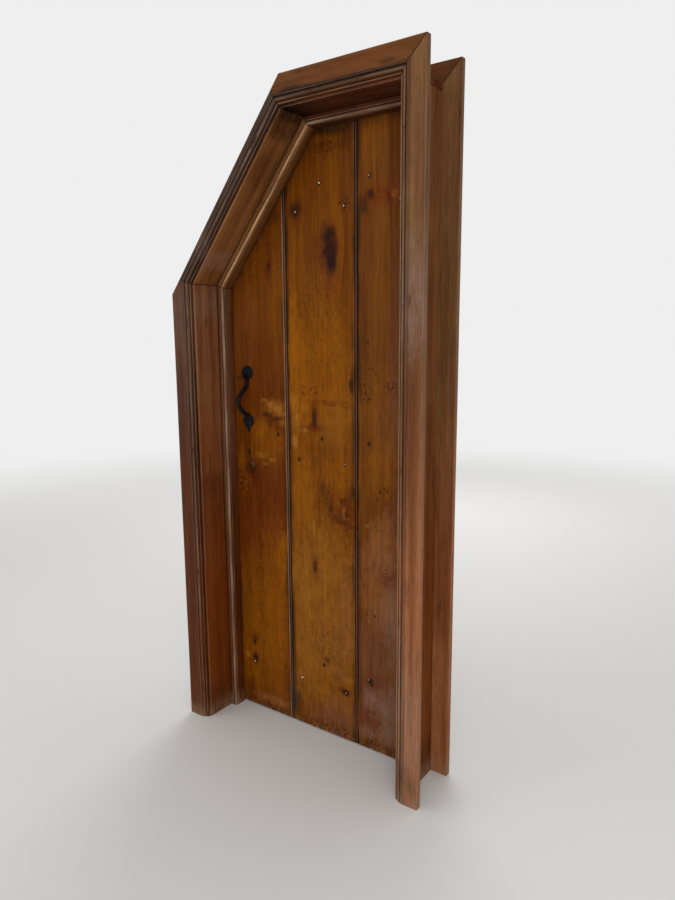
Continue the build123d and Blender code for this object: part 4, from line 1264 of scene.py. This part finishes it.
def stops():
    """Four planted stops with a staff bead."""
    crown = staff_bead_radius * cos(radians(45))
    # The bead's crown is rubbed and carries a broad painted highlight; the quirks and corners get
    # grime and painted shade
    worn = [
        (staff_bead_across - crown, staff_bead_depth - crown, 7.5 * mm, 0.95),
        (front_quirk + staff_quirk_width, stop_front, 2.6 * mm, 0.55),
        (-stop_width, side_quirk + staff_quirk_width, 2.6 * mm, 0.55),
    ]
    grimy_and_shaded = [
        (front_quirk, stop_front + staff_quirk_depth, 3.2 * mm, 0.95),
        (-stop_width + staff_quirk_depth, side_quirk, 3.2 * mm, 0.95),
        (0.0, stop_front, 3.5 * mm, 0.9),
        (-stop_width, stop_back, 6.0 * mm, 0.8),
    ]
    for run, name in enumerate(run_names):
        finish = frame_finish(
            f"{name} stop pine",
            stop_stains_and_sheen[name],
            worn,
            grimy_and_shaded,
            name,
            joints=run_joints(run),
            wear_and_highlight_colour=worn_and_highlight_gold if name == "raking" else worn_and_highlight_taupe,
        )
        made = frame_run(f"staff_bead_{name}", run, stop_outline(), frame_waviness / 2, finish)
        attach(made, "frame")
        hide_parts(f"stop_{name}")


def back_architraves():
    """Four plain architraves on the far side."""
    # Rubbed far arrises, and grime and painted shade where the architrave meets the lining
    worn = [(back_inner, back_back, 3.0 * mm, 0.6), (band_edge, back_back, 3.0 * mm, 0.6)]
    grimy_and_shaded = [(back_inner, back_front, 4.0 * mm, 0.9)]
    for run, name in enumerate(run_names):
        finish = frame_finish(
            f"{name} back pine", front_stains_and_sheen[name], worn, grimy_and_shaded, name, joints=run_joints(run)
        )
        made = frame_run(f"surround_{name}", run, back_architrave_outline(), frame_waviness, finish)
        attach(made, "frame")
        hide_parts(f"back_architrave_{name}")


# Knots: X, Z, half width, half height in millimetres, how dark and how strongly ringed
knots = {
    "left": [
        (-194, 1578, 7, 19, 0.65, 0.5),
        (-300, 264, 13, 16, 0.5, 0.7),
        (-299, 192, 12, 19, 0.72, 0.7),
    ],
    "middle": [
        (49, 1612, 27, 38, 1.0, 0.3),
        (47, 1656, 24, 26, 0.74, 0.2),
        (57, 1575, 19, 30, 0.84, 0.3),
        (-80, 1742, 19, 19, 0.6, 0.4),
        (-15, 1096, 10, 30, 0.7, 0.6),
        (104, 793, 34, 27, 0.0, 0.55),
        (108, 790, 11, 11, 0.35, 0.4),
        (-20, 592, 10, 26, 0.55, 0.5),
        (28, 272, 13, 12, 0.45, 0.3),
        (104, 178, 16, 9, 0.6, 0.4),
    ],
    "right": [
        (198, 1758, 10, 12, 0.65, 0.45),
        (262, 1748, 5, 13, 0.55, 0.3),
        (276, 1752, 15, 16, 0.0, 0.5),
        (265, 606, 16, 18, 0.1, 0.6),
        (204, 243, 9, 15, 0.7, 0.3),
        (199, 120, 24, 20, 0.05, 0.5),
    ],
}

# Marks: colour, X, Z, half width, half height in millimetres, and how strong they are
marks = {
    "left": [
        ("red", -250, 780, 110, 110, 0.75),
        ("red", -290, 880, 40, 50, 0.7),
        ("red", -240, 650, 100, 70, 0.5),
        ("amber", -150, 600, 30, 90, 0.7),
        ("ember", -310, 700, 40, 60, 0.3),
        ("amber", -320, 250, 40, 200, 0.5),
        ("amber", -320, 500, 40, 90, 0.3),
        ("amber", -200, 440, 80, 260, 0.5),
        ("amber", -240, 260, 80, 200, 0.4),
        ("amber", -230, 1500, 70, 190, 0.15),
        ("amber", -160, 1440, 40, 240, 0.25),
        ("buff", -305, 1380, 50, 130, 0.3),
        ("ember", -250, 1180, 110, 80, 0.25),
        ("red", -260, 1330, 60, 60, 0.3),
        ("honey", -180, 1118, 44, 26, 0.7),
        ("pale", -198, 1128, 20, 10, 0.6),
        ("pale", -170, 1114, 22, 9, 0.7),
        ("pale", -150, 1099, 15, 9, 0.6),
        ("pale", -226, 1140, 12, 6, 0.6),
        ("pale", -150, 1070, 12, 14, 0.45),
        ("amber", -205, 1000, 70, 60, 0.45),
        ("amber", -250, 1040, 26, 30, 0.5),
        ("pale", -240, 950, 26, 12, 0.4),
        ("pale", -196, 938, 18, 7, 0.4),
        ("pale", -226, 921, 14, 5, 0.35),
        ("amber", -336, 925, 16, 40, 0.6),
        ("dark", -212, 1092, 22, 8, 0.85),
        ("dark", -180, 1080, 22, 7, 0.8),
        ("dark", -205, 1066, 9, 18, 0.5),
        ("red", -170, 1052, 22, 14, 0.5),
        ("stain", -298, 985, 3.5, 60, 0.6),
        ("dark", -290, 908, 22, 26, 0.9),
        ("black", -288, 884, 12, 14, 0.5),
        ("red", -300, 850, 34, 26, 0.6),
        ("grey", -285, 916, 9, 10, 0.8),
        ("grey", -297, 1287, 4, 12, 0.4),
        ("black", -300, 960, 6, 7, 0.9),
        ("stain", -200, 1556, 14, 28, 0.4),
        ("stain", -170, 1722, 34, 18, 0.5),
        ("pale", -334, 192, 11, 9, 0.8),
        ("ember", -322, 172, 16, 8, 0.5),
        ("dark", -322, 60, 24, 50, 0.3),
        ("red", -325, 66, 20, 30, 0.5),
        ("buff", -210, 44, 90, 18, 0.85),
        ("ember", -300, 1400, 60, 160, 0.2),
        ("dark", -180, 256, 7, 7, 0.5),
        ("stain", -146, 500, 8, 60, 0.5),
    ],
    "middle": [
        ("stain", 60, 1960, 100, 20, 0.95),
        ("black", 0, 1962, 24, 16, 0.8),
        ("stain", 36, 1914, 30, 18, 0.5),
        ("stain", 118, 1932, 26, 30, 0.6),
        ("dark", 50, 1610, 34, 70, 0.55),
        ("red", 0, 1600, 55, 50, 0.4),
        ("ember", 60, 1500, 30, 60, 0.45),
        ("dark", 92, 1500, 40, 70, 0.22),
        ("dark", 104, 1250, 30, 70, 0.15),
        ("stain", -80, 1740, 34, 28, 0.5),
        ("amber", -100, 1360, 20, 130, 0.8),
        ("amber", -85, 1220, 34, 220, 0.6),
        ("amber", 10, 1230, 120, 170, 0.55),
        ("honey", 60, 1080, 60, 90, 0.4),
        ("amber", 70, 920, 60, 60, 0.6),
        ("honey", -60, 860, 40, 90, 0.3),
        ("amber", 60, 1380, 60, 120, 0.3),
        ("amber", -70, 1110, 50, 60, 0.5),
        ("pale", -96, 1130, 14, 34, 0.5),
        ("pale", -90, 1070, 16, 30, 0.6),
        ("pale", -98, 1010, 13, 22, 0.85),
        ("pale", -62, 1052, 20, 7, 0.6),
        ("pale", -58, 1120, 16, 16, 0.35),
        ("red", -16, 1062, 36, 12, 0.9),
        ("dark", -16, 1072, 16, 10, 0.5),
        ("red", -16, 1140, 14, 22, 0.5),
        ("red", -57, 1168, 6, 6, 1.0),
        ("ember", 20, 1148, 90, 5, 0.5),
        ("red", 50, 1138, 11, 4, 0.6),
        ("red", 108, 1134, 13, 3, 0.7),
        ("ember", 110, 1108, 14, 5, 0.4),
        ("stain", 130, 1206, 9, 22, 0.95),
        ("dark", 16, 862, 9, 26, 0.7),
        ("dark", 27, 828, 9, 26, 0.8),
        ("dark", 44, 798, 13, 18, 0.85),
        ("dark", 66, 776, 18, 12, 0.9),
        ("dark", 96, 762, 24, 8, 0.9),
        ("dark", 128, 752, 18, 7, 0.8),
        ("red", 40, 860, 8, 26, 0.6),
        ("red", 56, 826, 12, 14, 0.6),
        ("red", 78, 800, 12, 14, 0.6),
        ("dark", 130, 860, 12, 22, 0.85),
        ("dark", 90, 835, 8, 10, 0.6),
        ("pale", 98, 800, 8, 18, 0.75),
        ("pale", 108, 778, 12, 6, 0.6),
        ("amber", -70, 850, 46, 120, 0.6),
        ("honey", 0, 430, 150, 330, 0.72),
        ("honey", -70, 560, 40, 120, 0.5),
        ("honey", 40, 620, 60, 60, 0.4),
        ("pale", -22, 722, 8, 24, 0.5),
        ("pale", 4, 706, 10, 26, 0.45),
        ("buff", 106, 450, 30, 150, 0.5),
        ("honey", -60, 260, 50, 130, 0.4),
        ("honey", -58, 420, 5, 110, 0.5),
        ("pale", -46, 440, 3, 90, 0.4),
        ("pale", 20, 500, 3, 80, 0.4),
        ("buff", 60, 340, 70, 90, 0.3),
        ("grey", 80, 232, 30, 20, 0.3),
        ("pale", 104, 222, 22, 12, 0.5),
        ("pale", 70, 240, 14, 16, 0.35),
        ("red", 10, 248, 5, 5, 0.9),
        ("dark", 86, 182, 22, 8, 0.6),
        ("dark", 112, 168, 8, 8, 0.7),
        ("buff", 90, 110, 80, 60, 0.5),
        ("plum", 80, 60, 80, 50, 0.6),
        ("plum", 0, 60, 60, 40, 0.5),
        ("dark", 8, 1732, 1.2, 70, 0.9),
    ],
    # Low on the right board the taupe marks are painted sheen, the pale haze of a reflection
    "right": [
        ("amber", 200, 1900, 40, 70, 0.3),
        ("ember", 240, 1752, 60, 30, 0.7),
        ("pale", 278, 1752, 11, 11, 0.5),
        ("stain", 174, 1735, 16, 34, 0.7),
        ("dark", 196, 1330, 40, 120, 0.25),
        ("buff", 262, 1090, 34, 150, 0.35),
        ("taupe", 255, 650, 40, 60, 0.4),
        ("amber", 240, 950, 50, 90, 0.4),
        ("buff", 255, 740, 50, 80, 0.8),
        ("buff", 235, 620, 80, 130, 0.7),
        ("taupe", 272, 500, 40, 90, 0.65),
        ("buff", 240, 500, 60, 80, 0.7),
        ("plum", 215, 330, 70, 130, 0.75),
        ("taupe", 286, 380, 26, 110, 0.3),
        ("red", 205, 250, 30, 34, 0.4),
        ("plum", 230, 130, 80, 110, 0.9),
        ("taupe", 276, 140, 36, 90, 0.55),
        ("taupe", 210, 170, 40, 40, 0.45),
        ("taupe", 200, 60, 60, 24, 0.35),
        ("plum", 290, 1300, 24, 280, 0.6),
        ("plum", 290, 780, 16, 200, 0.4),
    ],
}

# Clusters of specks, in the same order
clusters = {
    "left": [
        ("dark", -320, 860, 40, 50, 0.6),
        ("dark", -230, 540, 70, 22, 0.4),
        ("amber", -326, 836, 28, 46, 0.7),
        ("stain", -230, 1600, 90, 120, 0.35),
        ("stain", -240, 1180, 90, 60, 0.3),
        ("stain", -280, 420, 60, 120, 0.25),
        ("stain", -220, 24, 90, 16, 0.6),
    ],
    "middle": [
        ("dark", 40, 1905, 60, 30, 0.6),
        ("dark", 106, 1738, 22, 22, 0.9),
        ("red", -40, 1185, 50, 16, 0.7),
        ("red", 60, 1146, 60, 10, 0.8),
        ("dark", -85, 1080, 30, 40, 0.5),
        ("dark", 92, 836, 18, 10, 0.8),
        ("dark", 100, 775, 26, 18, 0.8),
        ("dark", -20, 592, 22, 50, 0.5),
        ("stain", 20, 1400, 100, 200, 0.25),
        ("stain", 30, 900, 90, 100, 0.2),
        ("dark", 96, 178, 30, 16, 0.7),
        ("stain", 20, 330, 90, 80, 0.3),
        ("stain", 40, 26, 100, 20, 0.7),
    ],
    "right": [
        ("ember", 244, 1752, 50, 28, 0.8),
        ("dark", 210, 1752, 20, 14, 0.6),
        ("dark", 188, 1331, 11, 12, 0.9),
        ("red", 200, 1245, 22, 16, 0.9),
        ("dark", 186, 1186, 22, 34, 0.9),
        ("dark", 270, 1202, 18, 22, 0.9),
        ("dark", 243, 886, 16, 12, 1.0),
        ("red", 235, 850, 30, 40, 0.5),
        ("buff", 200, 768, 22, 14, 0.8),
        ("dark", 212, 766, 12, 16, 0.7),
        ("dark", 203, 472, 24, 16, 0.8),
        ("buff", 200, 458, 24, 10, 0.8),
        ("red", 265, 604, 26, 26, 0.8),
        ("buff", 205, 112, 38, 36, 0.9),
        ("dark", 205, 96, 36, 44, 0.6),
        ("dark", 200, 142, 30, 8, 0.7),
        ("stain", 220, 26, 80, 20, 0.7),
    ],
}

# Dirt smeared over the beads of the joints, in the same order
smears = {
    "left": [
        ("stain", -121, 310, 8, 90, 0.8),
        ("stain", -126, 420, 10, 60, 0.4),
        ("stain", -128, 100, 10, 60, 0.5),
        ("slate", -124, 52, 10, 34, 0.6),
        ("dark", -124, 640, 10, 160, 0.3),
    ],
    "middle": [
        ("stain", -108, 64, 16, 40, 0.8),
        ("slate", -110, 90, 12, 50, 0.4),
        ("slate", -108, 190, 8, 40, 0.25),
        ("stain", -112, 300, 6, 150, 0.6),
        ("stain", 138, 1700, 5, 200, 0.4),
        ("stain", 140, 1210, 12, 60, 0.9),
        ("stain", 138, 720, 5, 220, 0.4),
        ("stain", 140, 220, 7, 90, 0.7),
    ],
    "right": [("stain", 162, 1200, 7, 60, 0.7), ("stain", 164, 180, 6, 90, 0.5)],
}

# Heights where a board's finish hands over to the next, which looks the same there. Each holds
# only the marks that reach into its zone: a knot's rings to 5.5 of its half heights from its
# middle, another mark to 2.6, and the rust of a nail to 30 mm
zone_edges = [-0.1, 0.42, 0.86, 1.0, 1.3, 2.2]
knot_reach = 5.5
mark_reach = 2.6
nail_reach = 30 * mm

# Stain, pith and log of each board
board_stains = {"left": (102, 52, 5), "middle": (112, 61, 4), "right": (108, 61, 14)}
board_piths = {"left": (-0.30, 0.16), "middle": (-0.01, 0.11), "right": (0.24, 0.14)}
board_logs = {"left": 2.0, "middle": 17.0, "right": 31.0}

# Edges at the joints: how strongly rubbed, and the bead's colour
joint_rub = {"left": 0.8, "middle": 0.25}
bead_stain = {"left": paint(96, 76, 58), "middle": paint(92, 62, 50)}
joint_dirt_reach = 18 * mm


def in_zone(rows, zone, height_at, reach):
    """The rows of a table whose marks come into a zone. The half height is two places further."""
    low, high = zone
    return [
        row
        for row in rows
        if low < (row[height_at] + reach * row[height_at + 2]) * mm
        and (row[height_at] - reach * row[height_at + 2]) * mm < high
    ]


def zone_finishes(name, nails, edges):
    """A finish for each zone of a board, with only the marks that come into it."""
    finishes = []
    for zone in zip(zone_edges, zone_edges[1:]):
        low, high = zone[0] - nail_reach, zone[1] + nail_reach
        finishes.append(
            board_finish(
                f"{name} board pine {len(finishes) + 1}",
                stain(*board_stains[name]),
                in_zone(knots[name], zone, 1, knot_reach),
                in_zone(marks[name], zone, 2, mark_reach),
                in_zone(clusters[name], zone, 2, mark_reach),
                [(x, z) for x, z in nails if low < z < high],
                {**edges, "smears": in_zone(smears[name], zone, 2, mark_reach)},
                board_piths[name],
            )
        )
    return finishes


def joint_edges(name, left, right):
    """Dirt beside a board's joints, rubbed lines along them, and lines of grime and painted shade in
    their gaps.

    Dirt is a place across, a reach and an amount. A line has two more: how patchy, and its colour.
    """
    dirt = []
    lines = []
    if name != "right":
        bead_start = right - (2 * board_bead_radius + board_quirk_width - 0.3 * mm)
        dirt.append((bead_start, joint_dirt_reach, 0.75))
        # The arris beside the bead is rubbed; the gap at the right edge gets grime and painted shade
        lines += [
            (bead_start - 2 * mm, 3.6 * mm, joint_rub[name], 0.6, worn_and_highlight_taupe),
            (right - board_bead_radius, 5.0 * mm, 0.85, 0.3, bead_stain[name]),
            (right, 1.6 * mm, 0.8, 0.2, grime_and_shade),
        ]
    if name != "left":
        dirt.append((left, joint_dirt_reach, 0.8))
        # Grime and painted shade along the gap at the left edge
        lines.append((left, 5.5 * mm, 0.95, 0.1, grime_and_shade))
    return {"dirt": dirt, "lines": lines}


def close_foot(made):
    """Close the open foot of a board."""
    shape = shape_of(made.data)
    open_edges = [edge for edge in shape.edges if edge.is_boundary]
    bmesh.ops.edgeloop_fill(shape, edges=open_edges)
    bmesh.ops.recalc_face_normals(shape, faces=shape.faces)
    closed(shape, made.data)
    smooth(made)


def lever_slot():
    """The slot through the left board, round the lever's pin and its two ears."""
    low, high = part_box("thumb_lever_pin")
    centre = (low + high) / 2
    half_width = 7.7 * mm
    below = 4.6 * mm
    above = 8.9 * mm
    clear = 10 * mm
    size = Vector((2 * half_width, board_thickness + 2 * clear, below + above))
    depth = front_y + board_front + board_thickness / 2
    return block("lever slot", Vector((centre.x, depth, centre.z + (above - below) / 2)), size)


def boards():
    """Three tongued and beaded boards, cut on the rake, with the lever's slot in the left one."""
    cuts = [
        (knee - rake_outward * rake_gap, rake_outward),
        (Vector((0, 0, leaf_top)), Vector((0, 0, 1))),
    ]
    place = Matrix.Translation((0, front_y + board_front, leaf_bottom))
    length = leaf_top - leaf_bottom + overrun
    for name in ("left", "middle", "right"):
        low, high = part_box(f"board_{name}")
        tongued = name != "right"
        right = high.x - tongue_length if tongued else high.x
        nails = [(point.x, point.z) for point in clenched_nails if low.x < point.x < right]
        finishes = zone_finishes(name, nails, joint_edges(name, low.x, right))
        made = run_piece(
            f"plank_{name}",
            board_outline(low.x, right, name != "left", tongued),
            length,
            place,
            cuts,
            board_waviness,
            board_logs[name],
            finishes[0],
        )
        close_foot(made)
        if name == "left":
            drill(made, lever_slot())
        for finish in finishes[1:]:
            made.data.materials.append(finish)
        for face in made.data.polygons:
            face.material_index = sum(face.center.z > edge for edge in zone_edges[1:-1])
        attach(made, "leaf")
        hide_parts(f"board_{name}")


def nail_heads():
    """Domed heads over the ends of the clenched nails."""
    sunk = Vector((0, nail_dome_sink, 0))
    mesh = bpy.data.meshes.new("nail places")
    mesh.from_pydata([point + sunk for point in clenched_nails], [], [])
    made = grown("nail_heads", mesh, heads_on_nails, {"Finish": nail_iron})
    smooth(made, 50.0)
    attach(made, "leaf")


def ironwork():
    """Ledges, hinges, latch and handle with eased edges, and the small irons in their finish."""
    dressed = {
        "frame": ["upper_hinge_plate", "lower_hinge_plate", "latch_keeper"],
        "leaf": [
            "upper_hinge_strap",
            "lower_hinge_strap",
            "latch_handle",
            "bar_pivot_plate",
            "bar_guard",
        ],
        "thumb_lever": ["thumb_lever"],
        "latch_bar": ["latch_bar"],
    }
    for body, names in dressed.items():
        for name in names:
            dressed_copy(name, body, black_iron, iron_easing)
    for name in ledge_names:
        dressed_copy(f"ledge_{name}", "leaf", ledge_pine, ledge_easing)
    hinge_irons = [f"{end}_{iron}" for end in ("upper", "lower") for iron in ("plate", "strap")]
    plain = [
        (black_iron, ["upper_hinge_pin", "lower_hinge_pin", "thumb_lever_pin", "bar_rivet"]),
        (nail_iron, ["architrave_nails", *[f"clenched_nails_{name}" for name in ledge_names]]),
        (screw_steel, [f"{iron}_screws" for iron in (*hinge_irons, "keeper", "handle", "bar")]),
    ]
    for finish, names in plain:
        for name in names:
            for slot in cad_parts[name].material_slots:
                slot.material = finish


# Stage: greys of the floor and the backdrop, and where the floor starts and ends to fade
floor_radius = 14.0
floor_grey = (0.74, 0.74, 0.74, 1.0)
floor_fade = (2.2, 6.5)
backdrop_colour = (0.86, 0.86, 0.86, 1.0)
sky_colour = (1.0, 0.985, 0.96, 1.0)
sky_strength = 0.62
door_middle = (0.0, 0.0, 1.0)


def floor():
    """A plain pale floor that fades into the backdrop far from the door."""
    shape = bmesh.new()
    bmesh.ops.create_circle(shape, cap_ends=True, segments=64, radius=floor_radius)
    made = link("floor", closed(shape, bpy.data.meshes.new("floor")))
    material, w, surface, place = new_material("pale floor")
    surface.inputs["Base Color"].default_value = floor_grey
    surface.inputs["Roughness"].default_value = 0.75
    far = w.step(w.vector("LENGTH", place), *floor_fade)
    glow = w.node("ShaderNodeEmission", {"Color": backdrop_colour, "Strength": 1.0})
    blend = w.node("ShaderNodeMixShader", {0: far, 1: surface.outputs[0], 2: glow.outputs[0]})
    w.feed(material.node_tree.nodes["Material Output"].inputs["Surface"], blend.outputs[0])
    made.data.materials.append(material)


def backdrop():
    """A pale world: plain for the camera and for gloss, softer as a light."""
    world = bpy.data.worlds.new("pale room")
    world.use_nodes = True
    bpy.context.scene.world = world
    w = Wiring(world.node_tree)
    world.node_tree.nodes.clear()
    path = w.node("ShaderNodeLightPath").outputs
    seen = w.math("MAXIMUM", path["Is Camera Ray"], path["Is Glossy Ray"])
    seen = w.math("MAXIMUM", seen, path["Is Transmission Ray"])
    light = w.node("ShaderNodeBackground", {"Color": sky_colour, "Strength": sky_strength})
    plain = w.node("ShaderNodeBackground", {"Color": backdrop_colour, "Strength": 1.0})
    blend = w.node("ShaderNodeMixShader", {0: seen, 1: light.outputs[0], 2: plain.outputs[0]})
    w.feed(w.node("ShaderNodeOutputWorld").inputs["Surface"], blend.outputs[0])


def soft_lamp(name, place, size, power, colour):
    """A square area lamp that points at the middle of the door."""
    lamp = bpy.data.lights.new(name, "AREA")
    lamp.shape = "SQUARE"
    lamp.size = size
    lamp.energy = power
    lamp.color = colour
    made = link(name, lamp)
    made.location = place
    aim = Vector(door_middle) - Vector(place)
    made.rotation_euler = aim.to_track_quat("-Z", "Y").to_euler()


def lamps():
    """A window's light from the viewer's side, a weak fill and one behind."""
    soft_lamp("window", (2.6, -3.4, 1.5), 2.2, 70.0, (1.0, 0.97, 0.93))
    soft_lamp("fill", (-2.6, -3.0, 2.2), 2.4, 22.0, (1.0, 0.97, 0.94))
    soft_lamp("behind", (-1.5, 3.4, 2.6), 2.6, 60.0, (1.0, 0.98, 0.96))


def photo_camera():
    """The camera at the photograph's place, turn and view angle."""
    forward = Vector((
        -sin(camera_yaw) * cos(camera_pitch),
        cos(camera_yaw) * cos(camera_pitch),
        -sin(camera_pitch),
    ))
    level_right = Vector((cos(camera_yaw), sin(camera_yaw), 0.0))
    level_up = level_right.cross(forward)
    right = level_right * cos(camera_roll) + level_up * sin(camera_roll)
    up = level_up * cos(camera_roll) - level_right * sin(camera_roll)
    lens = bpy.data.cameras.new("photo camera")
    lens.sensor_fit = "HORIZONTAL"
    lens.sensor_width = sensor_width
    lens.lens = camera_lens
    turn = Matrix((right, up, -forward)).transposed().to_4x4()
    turn.translation = camera_place
    made = link("photo camera", lens)
    made.matrix_world = turn
    bpy.context.scene.camera = made


front_architraves()
linings()
stops()
back_architraves()
boards()
nail_heads()
ironwork()
floor()
backdrop()
lamps()
photo_camera()
bpy.context.scene.view_settings.view_transform = "Standard"
